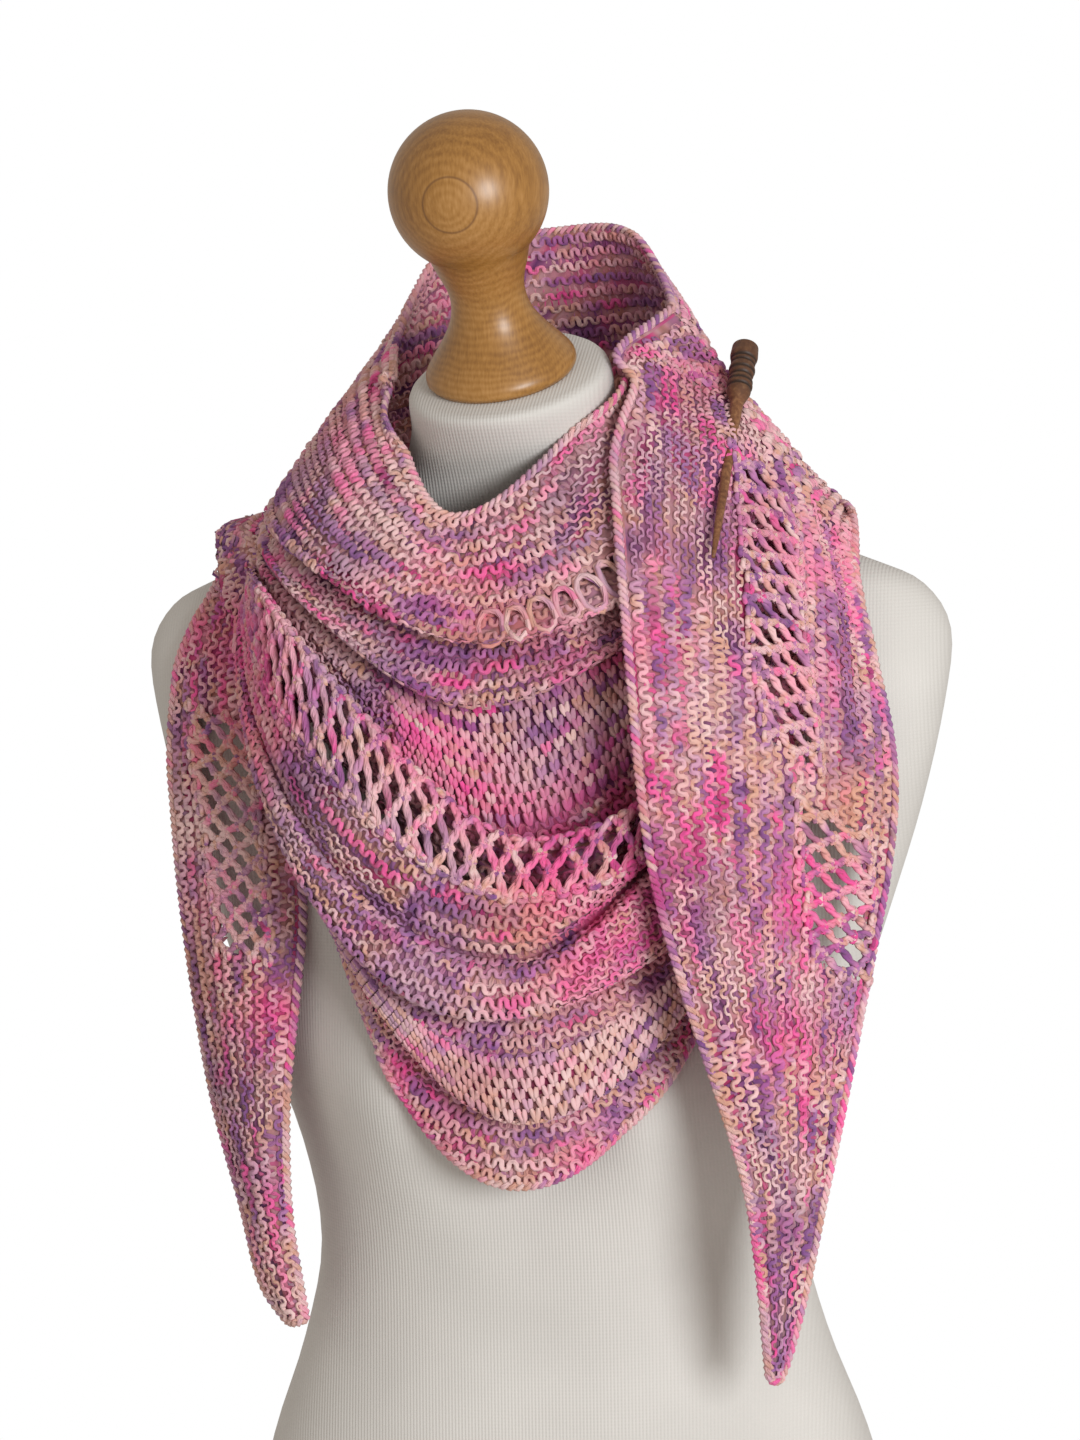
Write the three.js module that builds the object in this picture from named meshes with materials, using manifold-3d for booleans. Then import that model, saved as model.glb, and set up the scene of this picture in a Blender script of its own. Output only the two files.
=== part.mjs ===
// A hand-knit triangular shawl, draped and pinned on a limbless dress form.
// Millimetres, +Z up. The form faces -Y and stands on its flat base at z = 0.
// Cloth is laid out in a turned group, seen from three-quarters: there X runs to the viewer's
// right, Y away from the viewer and Z up.
import * as THREE from 'three';
import { mergeVertices } from 'three/addons/utils/BufferGeometryUtils.js';
import Module from 'manifold-3d';

// A table's rows as objects, under the names of its columns.
function table(columns, rows) {
  const names = columns.split(' ');
  return rows.map((row) => Object.fromEntries(names.map((name, i) => [name, row[i]])));
}

// Driving sizes
const TURN = THREE.MathUtils.degToRad(10); // how far the cloth's group is turned about Z
const WALL = 2.6; // thickness of the knitted cloth
const EDGE_ROLL = 1.0; // extra thickness of the chain selvedge and of the bound-off hem
const UNDER_GAP = 4.2; // from the form to the outer face of the layer next to it
const SECOND_GAP = 8.2; // the same for the second layer on a shoulder
const THIRD_GAP = 12.2; // and for the third
const BACK_GAP = 7.2; // the same for the wrap across the curved back
const NECK_EXTRA = 1.2; // more for the first courses, beside the neck
const LEFT_EXTRA = 0.9; // more for the left tail, whose top bends sharply over the shoulder
const LEFT_HUG = 0.25; // share of the left tail that lies close on the shoulder
const COLLAR_GAP = 14.5; // least height of the collar over the form
const COLLAR_RISE = 0.12; // share of the collar's length in which it rises to that height
const LAYER_GAP = 1.4; // clear space between the right tail and the front beneath it
const SEAM = 0.35; // between neighbouring stretches of the cloth
const FRONT_COLUMNS = 34;
const LEAN = THREE.MathUtils.degToRad(25); // forward lean of the neck's top and of the finial
const SIDE_SHARE = 0.15; // the neck's top slopes this much sideways for each 1 that it slopes forward
const FINIAL_SHIFT = -3;
const STICK_SIDES = 12;
const STICK_CLEARANCE = 0.45;
const LEAST_EDGE = 0.05; // shorter edges left by a cut are merged

// Sections of the dress form from the floor up. front and back are depths from centreY.
const FORM_SECTIONS = table('name z halfWidth front back centreY square tilt', [
  ['base',           0, 163, 96, 104,   4, 2.2,  0],
  ['hips',          55, 158, 96, 104,   3, 2.2,  0],
  ['belly',        110, 145, 92,  94,   1, 2.2,  0],
  ['lowWaist',     160, 127, 86,  82,   0, 2.2,  0],
  ['waist',        208, 117, 82,  76,   0, 2.2,  0],
  ['ribs',         258, 125, 86,  77,   2, 2.2,  0],
  ['bust',         310, 144, 92,  82,   4, 2.3,  0],
  ['armpit',       363, 163, 90,  82,   7, 2.3,  0],
  ['chest',        411, 179, 84,  80,   9, 2.3,  0],
  ['upperChest',   459, 191, 76,  76,  11, 2.3,  0],
  ['caps',         494, 195, 68,  72,  12, 2.2,  0],
  ['capTop',       516, 183, 60,  64,  10, 2.1,  0],
  ['shoulder',     528, 160, 54,  57,   5, 2.0,  0],
  ['slope',        542, 124, 50,  52,  -4, 2.0,  0],
  ['neckFoot',     558,  84, 48,  48, -18, 2.0,  0],
  ['neckLow',      576,  60, 46,  46, -32, 2.0,  4],
  ['neck',         598,  49, 46,  46, -48, 2.0, 14],
  ['neckRim',      617,  47, 45,  45, -60, 2.0, 23],
  ['neckTop',    621.5,  42, 41,  41, -62, 2.0, 25],
]);
const BUST = { x: 64, z: 286, rise: 26, wide: 40, tall: 48 };
const FORM_RINGS_PER_SECTION = 2;
const FORM_SIDES = 28;

// Turned finial: height along its leaning axis and radius, from the foot up.
const FINIAL_FOOT = [
  { h: 0, r: 33.5 }, { h: 2, r: 35 }, { h: 6, r: 34.6 }, { h: 12, r: 30.5 }, { h: 20, r: 24.5 },
  { h: 29, r: 19.4 }, { h: 38, r: 17.4 }, { h: 46, r: 18.2 }, { h: 54, r: 21 },
];
const BALL = { height: 90, radius: 36.5, startRadius: 23.5, steps: 12 };
const FINIAL_SIDES = 20;

// Shawl stick: a straight turned pin, from its point up to its head.
const STICK_POINT = new THREE.Vector3(78, -124, 535);
const STICK_HEAD = new THREE.Vector3(101, -28, 632);
const STICK_PROFILE = [
  { along: 0, r: 0.7 }, { along: 0.08, r: 1.6 }, { along: 0.3, r: 2.2 }, { along: 0.62, r: 2.6 },
  { along: 0.71, r: 3.2 }, { along: 0.76, r: 5.6 }, { along: 0.8, r: 6.3 }, { along: 0.83, r: 5.2 },
  { along: 0.86, r: 6.4 }, { along: 0.89, r: 5.6 }, { along: 0.93, r: 6.6 }, { along: 0.975, r: 6.2 },
];

// Course lines of the shawl's front, from the neck edge down to the hem. Each hangs from a left
// point over a low point to a right point. round is 0 for a soft V and 1 for a half ellipse,
// bow pushes the middle of that side outward, cuts is the number of rows up to the next line.
const COURSES = table(
  'name leftX leftY leftZ lowX lowY lowZ rightX rightY rightZ roundL roundR bowL bowR cuts',
  [
    ['neckEdge',     -66,  -5, 637, -37, -104, 557,  60, -14, 628,    1, -0.2,  4,  6, 2],
    ['cowlFace',     -94,  -8, 610, -32, -124, 530,  82, -14, 596,  0.7,  0.1,  8,  6, 4],
    ['cowlFold',    -126, -20, 566, -27, -138, 500, 106, -26, 563,  0.4,  0.4, 12,  8, 2],
    ['cowlTuck',    -127, -16, 560, -29, -114, 528, 107, -18, 558,  0.4,  0.4,  6,  4, 1],
    ['bandFace',    -129, -22, 556, -29, -127, 487, 110, -22, 554,  0.4,  0.2,  8,  6, 2],
    ['bandFold',    -131, -28, 552, -31, -134, 472, 113, -26, 550,  0.3,  0.1, 10,  8, 1],
    ['bandTuck',    -132, -26, 547, -28, -120, 475, 115, -20, 546,  0.3,  0.1,  6,  4, 2],
    ['pocketFace',  -133, -29, 542, -19, -126, 434, 116, -24, 542,  0.1,  0.3,  6,  4, 2],
    ['pocketFloor', -134, -29, 540, -12, -124, 384, 118, -22, 536,  0.5,  0.6,  0,  0, 3],
    ['swagTop',     -136, -38, 535,  -7, -150, 413, 120, -28, 535,    0, 0.75,  8,  4, 5],
    ['laceFoot',    -138, -42, 529, -12, -157, 388, 122, -32, 529,  0.6, 0.85, 10,  4, 1],
    ['swagFace',    -140, -45, 523, -20, -153, 370, 124, -36, 524,  0.8,  0.5,  8,  2, 1],
    ['mouthTuck',   -141, -46, 519, -20, -147, 360, 126, -34, 520,  0.9, 0.35,  6, -8, 1],
    ['mouthFold',   -143, -46, 515, -21, -152, 355, 127, -38, 516,  0.9,  0.4,  6,  8, 2],
    ['swagFold',    -144, -48, 510, -32, -150, 333, 128, -38, 511,  0.9,  0.9,  4,  8, 2],
    ['swagTuck',    -143, -44, 507, -31, -132, 339, 127, -30, 507,  0.9,  0.9,  0,  0, 1],
    ['stockFace',   -139, -42, 510, -22, -137, 313, 124, -25, 508, 0.85,  0.9,  0,  2, 2],
    ['stockFold',   -135, -40, 514, -17, -135, 285, 121, -21, 509, 0.75, 0.85,  0,  2, 1],
    ['hemTuck',     -130, -38, 517, -17, -123, 290, 117, -17, 510,  0.8, 0.85,  0,  0, 1],
    ['hemFace',     -124, -37, 520, -18, -123, 270, 113, -14, 511, 0.95,  0.9,  0,  0, 1],
    ['hemEdge',     -118, -36, 523, -19, -120, 252, 109, -11, 512,    1,  0.9,  0,  0, 0],
  ],
);
const SOFT_V = 0.3; // how round the bottom of a V-shaped course is
const HOLLOW = { left: 0.65, right: 1.5 }; // how late a course falls back to the shoulders
const LEFT_STACK = { from: 0.42, length: 0.3 }; // share of a course where layers begin to stack
const RIGHT_STACK = { from: 0.7, length: 0.2 };
const LACE_CELLS = { after: 9, before: 52 }; // columns of the front between which the lace is open
const EYELET_CELLS = { after: 33, before: 50 };
const LACE_FINE = { from: 0.1, to: 0.9 }; // courses of the lace band that have every column
const EYELET_FINE = { from: 0.4, to: 0.8 };
const COURSE_MARGIN = 0.01; // keeps a row that ends on a course out of the band beside it

// Collar: the same courses on round the back of the neck, as radius and height about COLLAR_AXIS.
const COLLAR_AXIS = { x: 2, y: -3 };
const COLLAR_STOPS = [0, 0.22, 0.5, 0.76, 1];
const COLLAR_END_ANGLE = THREE.MathUtils.degToRad(-6);
const COLLAR_COURSES = table('at leftR leftZ backR backZ turnR turnZ rightR rightZ', [
  ['neckEdge',   67, 682,  68, 692,  62, 688,  66, 650],
  ['cowlFace',   78, 655,  80, 660,  78, 660,  81, 635],
  ['cowlFold',  100, 612,  96, 620,  94, 622,  92, 617],
  ['bandTuck',  104, 588,  92, 600,  96, 600, 104, 602],
  ['laceFoot',  112, 558, 102, 566, 110, 572, 120, 584],
  ['swagFold',  119, 542, 106, 530, 120, 546, 132, 568],
  ['stockFold', 121, 536, 108, 512, 128, 534, 146, 556],
  ['hemEdge',   123, 531, 108, 494, 136, 522, 139, 551],
]);
const COLLAR_COLUMNS = 16;
const PAST_TOP = 1.2; // how far past its last section the form's shape is carried, in sections
const STAND_OFF = { probe: 0.5, longest: 12, rounds: 8 };
const SEAM_REACH = 0.03; // how far past a seam its wall direction is taken, as a share

// Ribbons of cloth, a row for each station: the neck-edge side, the middle and the hem side.
const RIGHT_TAIL = table('name edgeX edgeY edgeZ midX midY midZ hemX hemY hemZ', [
  ['shoulder',   39,  -32, 631, 103,  -12, 595, 147,  -42, 513],
  ['collarbone', 36,  -66, 598, 106,  -54, 557, 153,  -56, 480],
  ['chest',      36, -108, 553, 101,  -92, 514, 159,  -62, 446],
  ['upperFold',  38, -142, 500,  99, -116, 465, 159,  -66, 416],
  ['bust',       41, -158, 439,  97, -128, 416, 154,  -72, 384],
  ['swing',      46, -160, 395,  96, -136, 379, 147,  -80, 355],
  ['underBust',  57, -156, 348,  97, -138, 339, 138,  -92, 320],
  ['hang',       72, -142, 296, 100, -132, 289, 128, -104, 280],
  ['taper',      83, -134, 254, 101, -128, 250, 119, -110, 244],
  ['narrow',     88, -128, 212,  99, -124, 209, 110, -112, 205],
  ['point',      90, -124, 179,  96, -122, 178, 102, -114, 176],
  ['tip',        91, -121, 164,  94, -120, 163,  97, -116, 163],
]);
const LEFT_TAIL = table('name edgeX edgeY edgeZ midX midY midZ hemX hemY hemZ', [
  ['top',        -104,   4, 556, -128,   6, 548, -144,   8, 538],
  ['crest',      -112, -34, 538, -136, -26, 534, -151, -18, 520],
  ['collarbone', -117, -48, 486, -148, -42, 494, -172, -28, 492],
  ['chest',      -117, -57, 432, -147, -56, 445, -180, -34, 454],
  ['lace',       -116, -67, 400, -145, -67, 406, -179, -40, 413],
  ['turn',       -116, -75, 370, -145, -75, 376, -177, -44, 380],
  ['hang',       -120, -81, 336, -145, -82, 337, -172, -50, 334],
  ['taper',      -127, -80, 284, -145, -80, 284, -164, -56, 281],
  ['narrow',     -128, -79, 233, -140, -79, 233, -152, -62, 232],
  ['point',      -124, -78, 197, -134, -78, 197, -144, -66, 196],
  ['tip',        -122, -76, 181, -127, -76, 179, -132, -70, 178],
]);
const BACK_WRAP = table('name edgeX edgeY edgeZ midX midY midZ hemX hemY hemZ', [
  ['overRight',   60, 12, 590,   92,  6, 562,  122,  4, 545],
  ['rightBack',   52, 52, 562,   84, 66, 530,  112, 76, 486],
  ['back',        -4, 66, 556,    0, 84, 500,    2, 90, 438],
  ['leftBack',   -66, 56, 560,  -88, 74, 516, -108, 82, 462],
  ['overLeft',  -104, 30, 556, -128, 40, 544, -154, 46, 516],
]);
const RIBBON_COLUMNS = 8;
const BACK_COLUMNS = 18;
const BACK_SETTLE = 0.2; // share of the back wrap in which it comes down on to the form
const HIDDEN_START = 0.6; // the back wrap begins this share of a station behind the front's end
const RIGHT_COLUMNS = 30;
const LEFT_COLUMNS = 24;
const EYELET = { along: 5.2, across: 6.4, deep: 60 };
const RIGHT_EYELETS = [
  { from: 0.14, to: 0.35, firstLine: 9.6, lastLine: 12, apart: 2, rows: 2, count: 9 },
  { from: 0.38, to: 0.54, firstLine: 15, lastLine: 17, apart: 1.8, rows: 3, count: 6 },
];
const LEFT_EYELETS = [
  { from: 0.26, to: 0.56, firstLine: 12, lastLine: 9.6, apart: 2.8, rows: 3, count: 7 },
];
const SHOULDER = { from: 0.08, length: 0.16 }; // share of the right tail that leaves the shoulder
const COVER_CELL = 4;
const COVER_BLUR = 2; // cells to each side that are blended
const COVER_SOFT = 1.6; // how far the blend reaches, in cells
const COVER_LEAST = 0.2; // least blend weight at which there is cloth beneath
const COVER_STEP = 0.7; // spacing of the places read on each triangle, in cells
const COVER_SPREAD = 1; // cells
const COVER_PASSES = 6;
const PINCH = { x: 92, z: 589, wide: 17, tall: 18, rise: 15 }; // stitches lifted over the stick

function mix(a, b, t) {
  return a + (b - a) * t;
}

function ease(t) {
  const c = Math.min(1, Math.max(0, t));
  return c * c * (3 - 2 * c);
}

function bell(x, width) {
  return Math.exp(-(x * x) / (width * width));
}

// A smooth curve through evenly numbered values.
function through(values, at) {
  const last = values.length - 1;
  const k = Math.min(last - 1, Math.max(0, Math.floor(at)));
  const t = at - k;
  const p1 = values[k];
  const p2 = values[k + 1];
  const p0 = k > 0 ? values[k - 1] : p1;
  const p3 = k + 2 <= last ? values[k + 2] : p2;
  const m1 = (p2 - p0) / 2;
  const m2 = (p3 - p1) / 2;
  const t2 = t * t;
  const t3 = t2 * t;
  return (2 * t3 - 3 * t2 + 1) * p1 + (t3 - 2 * t2 + t) * m1 + (3 * t2 - 2 * t3) * p2 + (t3 - t2) * m2;
}

function column(rows, key, at) {
  return through(rows.map((row) => row[key]), at);
}

// The dress form
function sectionAt(at) {
  const section = {};
  for (const key of ['z', 'halfWidth', 'front', 'back', 'centreY', 'square', 'tilt']) {
    section[key] = column(FORM_SECTIONS, key, at);
  }
  return section;
}

function sectionIndexAt(z) {
  let low = 0;
  while (low < FORM_SECTIONS.length - 2 && FORM_SECTIONS[low + 1].z < z) low += 1;
  const span = FORM_SECTIONS[low + 1].z - FORM_SECTIONS[low].z;
  return low + Math.min(PAST_TOP, Math.max(0, (z - FORM_SECTIONS[low].z) / span));
}

function bustRise(x, z) {
  const side = Math.abs(x) - BUST.x;
  return BUST.rise * bell(side, BUST.wide) * bell(z - BUST.z, BUST.tall);
}

function formRing(at) {
  const s = sectionAt(at);
  const slope = Math.tan(THREE.MathUtils.degToRad(s.tilt));
  const ring = [];
  for (let i = 0; i < FORM_SIDES; i += 1) {
    const angle = (i / FORM_SIDES) * 2 * Math.PI;
    const power = 2 / s.square;
    const x = s.halfWidth * Math.sign(Math.cos(angle)) * Math.abs(Math.cos(angle)) ** power;
    const side = Math.sign(Math.sin(angle)) * Math.abs(Math.sin(angle)) ** power;
    const front = side < 0;
    const deep = side * (front ? s.front : s.back);
    const bump = front ? bustRise(x, s.z) * Math.abs(side) : 0;
    const z = s.z + (deep + x * SIDE_SHARE) * slope;
    ring.push(new THREE.Vector3(x, s.centreY + deep - bump, z));
  }
  return ring;
}

// How far a point lies outside the form, measured along its slope.
function formExcess(p) {
  const s = sectionAt(sectionIndexAt(p.z));
  const dy = p.y - s.centreY;
  const reach = dy < 0 ? s.front + bustRise(p.x, p.z) : s.back;
  const sum = Math.abs(p.x / s.halfWidth) ** s.square + Math.abs(dy / reach) ** s.square;
  return sum ** (1 / s.square) - 1;
}

const toPart = (p) => p.clone().applyAxisAngle(new THREE.Vector3(0, 0, 1), TURN);
const toGroup = (p) => p.clone().applyAxisAngle(new THREE.Vector3(0, 0, 1), -TURN);

// Moves a point of the cloth out until it clears the form by the gap. With hug, a point that
// lies too far off comes in to the gap as well.
function standOff(point, gap, hug = 0) {
  const p = toPart(point);
  const step = STAND_OFF.probe;
  for (let round = 0; round < STAND_OFF.rounds; round += 1) {
    const here = formExcess(p);
    const slope = new THREE.Vector3(
      formExcess(p.clone().add(new THREE.Vector3(step, 0, 0))) - here,
      formExcess(p.clone().add(new THREE.Vector3(0, step, 0))) - here,
      formExcess(p.clone().add(new THREE.Vector3(0, 0, step))) - here,
    ).divideScalar(step);
    const steep = Math.max(slope.length(), 1e-4);
    const missing = gap - here / steep;
    if (missing <= 0 && hug === 0) break;
    const share = missing > 0 ? 1 : hug;
    const move = THREE.MathUtils.clamp(missing * share, -STAND_OFF.longest, STAND_OFF.longest);
    p.addScaledVector(slope.divideScalar(steep), move);
  }
  return toGroup(p);
}

// Solids from triangles
function solidGeometry(points, triangles) {
  const geometry = new THREE.BufferGeometry();
  const numbers = points.flatMap((p) => [p.x, p.y, p.z]);
  geometry.setAttribute('position', new THREE.Float32BufferAttribute(numbers, 3));
  geometry.setIndex(triangles.flat());
  return geometry;
}

function ringSolid(rings, bottom, top) {
  const sides = rings[0].length;
  const points = [...rings.flat(), bottom, top];
  const triangles = [];
  const foot = points.length - 2;
  const head = points.length - 1;
  for (let k = 0; k < sides; k += 1) {
    const next = (k + 1) % sides;
    triangles.push([foot, next, k]);
    const base = (rings.length - 1) * sides;
    triangles.push([head, base + k, base + next]);
    for (let r = 0; r < rings.length - 1; r += 1) {
      const a = r * sides + k;
      const b = r * sides + next;
      triangles.push([a, b, b + sides], [a, b + sides, a + sides]);
    }
  }
  return solidGeometry(points, triangles);
}

// A wall of cloth: rows of outer points, all on the fine column count. A row that is not fine
// uses every second point. skip(row, column) leaves a cell of two fine rows open. past gives the
// points just beyond the first and last columns, so that walls meet squarely at a seam.
function clothGeometry(rows, fine, wall, skip, inward, past = {}, swell = 0) {
  const last = rows.length - 1;
  const columns = rows[0].length - 1;
  const outer = [];
  const inner = [];
  const index = rows.map(() => new Array(columns + 1).fill(-1));
  for (let r = 0; r <= last; r += 1) {
    for (let c = 0; c <= columns; c += fine[r] ? 1 : 2) {
      const here = rows[r][c];
      const before = c > 0 ? rows[r][c - 1] : past.start?.[r] ?? here;
      const after = c < columns ? rows[r][c + 1] : past.end?.[r] ?? here;
      const along = after.clone().sub(here).normalize();
      along.add(here.clone().sub(before).normalize()).normalize();
      const up = new THREE.Vector3();
      if (r > 0) up.add(here.clone().sub(rows[r - 1][c]).normalize());
      if (r < last) up.add(rows[r + 1][c].clone().sub(here).normalize());
      const normal = along.cross(up.normalize()).normalize().multiplyScalar(inward);
      index[r][c] = outer.length;
      outer.push(here.clone().addScaledVector(normal, -swell));
      inner.push(here.clone().addScaledVector(normal, wall(r, c) + swell));
    }
  }
  const faces = [];
  for (let r = 0; r < last; r += 1) {
    const a = index[r];
    const b = index[r + 1];
    if (fine[r] && fine[r + 1]) {
      for (let c = 0; c < columns; c += 1) {
        if (!skip(r, c)) faces.push([a[c], b[c], b[c + 1]], [a[c], b[c + 1], a[c + 1]]);
      }
    } else {
      for (let c = 0; c < columns; c += 2) {
        if (fine[r]) {
          faces.push([a[c], b[c], a[c + 1]], [a[c + 1], b[c], b[c + 2]], [a[c + 1], b[c + 2], a[c + 2]]);
        } else if (fine[r + 1]) {
          faces.push([a[c], b[c], b[c + 1]], [a[c], b[c + 1], a[c + 2]], [b[c + 1], b[c + 2], a[c + 2]]);
        } else {
          faces.push([a[c], b[c], b[c + 2]], [a[c], b[c + 2], a[c + 2]]);
        }
      }
    }
  }
  const shift = outer.length;
  const open = new Map();
  for (const [i, j, k] of faces) {
    for (const [m, n] of [[i, j], [j, k], [k, i]]) {
      if (!open.delete(`${n},${m}`)) open.set(`${m},${n}`, [m, n]);
    }
  }
  const triangles = [];
  for (const [i, j, k] of faces) triangles.push([i, j, k], [i + shift, k + shift, j + shift]);
  for (const [m, n] of open.values()) triangles.push([n, m, m + shift], [n, m + shift, n + shift]);
  const turned = inward > 0 ? triangles : triangles.map(([i, j, k]) => [i, k, j]);
  return solidGeometry([...outer, ...inner], turned);
}

// Front of the shawl
const COURSE_INDEX = Object.fromEntries(COURSES.map((course, i) => [course.name, i]));
const LAST_COURSE = COURSES.length - 1;
// The part that is folded under ends beneath the right tail: the back wrap starts from the rest.
const FOLD_SHARE = COURSE_INDEX.swagFold / LAST_COURSE;

// Y is measured from the form's own side-to-side plane, which the turn slants.
const slant = (x) => -x * Math.tan(TURN);

// Gap of the front's layers where they stack on a shoulder: the part folded under lies lower.
function stackGap(line, above, below) {
  return mix(above, below, ease(line - COURSE_INDEX.swagFold));
}

function frontPoint(line, t) {
  const side = t < 0.5 ? 'left' : 'right';
  const at = (key) => column(COURSES, key, line);
  const round = at(t < 0.5 ? 'roundL' : 'roundR');
  const bow = at(t < 0.5 ? 'bowL' : 'bowR');
  const angle = Math.abs(2 * t - 1) * Math.PI / 2;
  const reach = Math.sin(angle);
  const softV = (Math.hypot(reach, SOFT_V) - SOFT_V) / (Math.hypot(1, SOFT_V) - SOFT_V);
  const rise = mix(softV, 1 - Math.cos(angle), round);
  const x = mix(at('lowX'), at(`${side}X`), reach);
  const z = mix(at('lowZ'), at(`${side}Z`), rise);
  const forward = Math.abs(Math.cos(angle)) ** HOLLOW[side];
  const y = mix(at(`${side}Y`), at('lowY'), forward) - bow * Math.sin(2 * angle) + slant(x);
  const leftShare = ease((LEFT_STACK.from - t) / LEFT_STACK.length);
  const rightShare = ease((t - RIGHT_STACK.from) / RIGHT_STACK.length);
  const gap = UNDER_GAP + NECK_EXTRA * (1 - ease(line / 2))
    + leftShare * (stackGap(line, THIRD_GAP, SECOND_GAP) - UNDER_GAP)
    + rightShare * (stackGap(line, SECOND_GAP, UNDER_GAP) - UNDER_GAP);
  return standOff(new THREE.Vector3(x, y, z), gap);
}

function courseStops() {
  const stops = [];
  COURSES.forEach((course, i) => {
    for (let k = 0; k < course.cuts; k += 1) stops.push(i + k / course.cuts);
  });
  stops.push(LAST_COURSE);
  return stops;
}

const laceStart = COURSE_INDEX.swagTop;
const eyeletStart = COURSE_INDEX.cowlFace;

function rowInside(stops, row, start, end) {
  return stops[row] > start + COURSE_MARGIN && stops[row + 1] < end - COURSE_MARGIN;
}

// With swell, the same solid grown on all sides, to trim the stretches that meet it.
function frontDrape(swell = 0) {
  const stops = courseStops();
  const columns = FRONT_COLUMNS * 2;
  const rows = stops.map((line) => {
    const row = [];
    for (let c = 0; c <= columns; c += 1) row.push(frontPoint(line, c / columns));
    return row;
  });
  const fine = stops.map((line) => (
    (line > laceStart + LACE_FINE.from && line < laceStart + LACE_FINE.to)
    || (line > eyeletStart + EYELET_FINE.from && line < eyeletStart + EYELET_FINE.to)
  ));
  const skip = (r, c) => {
    const inLace = rowInside(stops, r, laceStart, laceStart + 1);
    const band = Math.round((stops[r] - laceStart) * 5);
    const inLaceCells = c > LACE_CELLS.after && c < LACE_CELLS.before;
    if (inLace && band === 1) return c % 2 === 1 && inLaceCells;
    if (inLace && band === 3) return c % 2 === 0 && inLaceCells;
    const inEyelets = rowInside(stops, r, eyeletStart, eyeletStart + 1);
    return inEyelets && c % 2 === 0 && c > EYELET_CELLS.after && c < EYELET_CELLS.before;
  };
  const wall = (r) => WALL + (r === 0 || r === stops.length - 1 ? EDGE_ROLL : 0);
  const past = {
    start: stops.map((line) => collarPoint(line, SEAM_REACH)),
  };
  for (const row of rows) {
    row[0].addScaledVector(row[0].clone().sub(row[1]).normalize(), swell);
    row[columns].addScaledVector(row[columns].clone().sub(row[columns - 1]).normalize(), swell);
  }
  return clothGeometry(rows, fine, wall, swell > 0 ? () => false : skip, 1, past, swell);
}

// Collar round the back of the neck
function collarPoint(line, s) {
  const start = frontPoint(line, 0);
  const keys = COLLAR_COURSES.map((row) => COURSE_INDEX[row.at]);
  let k = 0;
  while (k < keys.length - 2 && keys[k + 1] <= line) k += 1;
  const at = k + (line - keys[k]) / (keys[k + 1] - keys[k]);
  const dx = start.x - COLLAR_AXIS.x;
  const dy = start.y - COLLAR_AXIS.y;
  const startAngle = (Math.atan2(dy, dx) + 2 * Math.PI) % (2 * Math.PI);
  let stop = 0;
  while (stop < COLLAR_STOPS.length - 2 && COLLAR_STOPS[stop + 1] <= s) stop += 1;
  const along = stop + (s - COLLAR_STOPS[stop]) / (COLLAR_STOPS[stop + 1] - COLLAR_STOPS[stop]);
  const radii = [Math.hypot(dx, dy)];
  const heights = [start.z];
  for (const place of ['left', 'back', 'turn', 'right']) {
    radii.push(column(COLLAR_COURSES, `${place}R`, at));
    heights.push(column(COLLAR_COURSES, `${place}Z`, at));
  }
  const angle = mix(startAngle, COLLAR_END_ANGLE, s);
  const radius = through(radii, along);
  const p = new THREE.Vector3(
    COLLAR_AXIS.x + radius * Math.cos(angle),
    COLLAR_AXIS.y + radius * Math.sin(angle),
    through(heights, along),
  );
  return standOff(p, mix(stackGap(line, THIRD_GAP, SECOND_GAP), COLLAR_GAP, ease(s / COLLAR_RISE)));
}

function stripGeometry(pointAt, stops, columns, seamStart, seamEnd, past, inward, adjust = () => {}) {
  const rows = stops.map((line) => {
    const row = [];
    for (let c = 0; c <= columns; c += 1) {
      const first = pointAt(line, 0);
      const second = pointAt(line, 1 / columns);
      const last = pointAt(line, 1);
      const before = pointAt(line, 1 - 1 / columns);
      let p = pointAt(line, c / columns);
      if (c === 0) p = first.clone().addScaledVector(second.clone().sub(first).normalize(), seamStart);
      if (c === columns) p = last.clone().addScaledVector(before.clone().sub(last).normalize(), seamEnd);
      row.push(p);
    }
    return row;
  });
  adjust(rows);
  const fine = stops.map(() => true);
  const wall = (r) => WALL + (r === 0 || r === stops.length - 1 ? EDGE_ROLL : 0);
  return clothGeometry(rows, fine, wall, () => false, inward, past);
}

function collarWrap() {
  const stops = courseStops().filter((line) => line <= COURSE_INDEX.cowlTuck || Number.isInteger(line));
  const past = { start: stops.map((line) => frontPoint(line, SEAM_REACH)) };
  return stripGeometry(collarPoint, stops, COLLAR_COLUMNS, SEAM, SEAM, past, -1);
}

// Ribbons: the back wrap and the two tails
function ribbonPoint(stations, across, s) {
  const at = s * (stations.length - 1);
  const u = across / LAST_COURSE;
  const edge = (1 - u) * (1 - 2 * u);
  const middle = 4 * u * (1 - u);
  const hem = u * (2 * u - 1);
  const blend = (axis) => (
    edge * column(stations, `edge${axis}`, at)
    + middle * column(stations, `mid${axis}`, at)
    + hem * column(stations, `hem${axis}`, at)
  );
  const x = blend('X');
  return new THREE.Vector3(x, blend('Y') + slant(x), blend('Z'));
}

function rightTailPoint(across, s) {
  const first = 1 / RIGHT_TAIL.length;
  const start = collarPoint(across, 1);
  if (s < first) return start.lerp(ribbonPoint(RIGHT_TAIL, across, 0), s / first);
  return ribbonPoint(RIGHT_TAIL, across, (s - first) / (1 - first));
}

const ribbonShares = Array.from({ length: RIBBON_COLUMNS + 1 }, (_, i) => i / RIBBON_COLUMNS);
const ribbonStops = ribbonShares.map((share) => share * LAST_COURSE);

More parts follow.
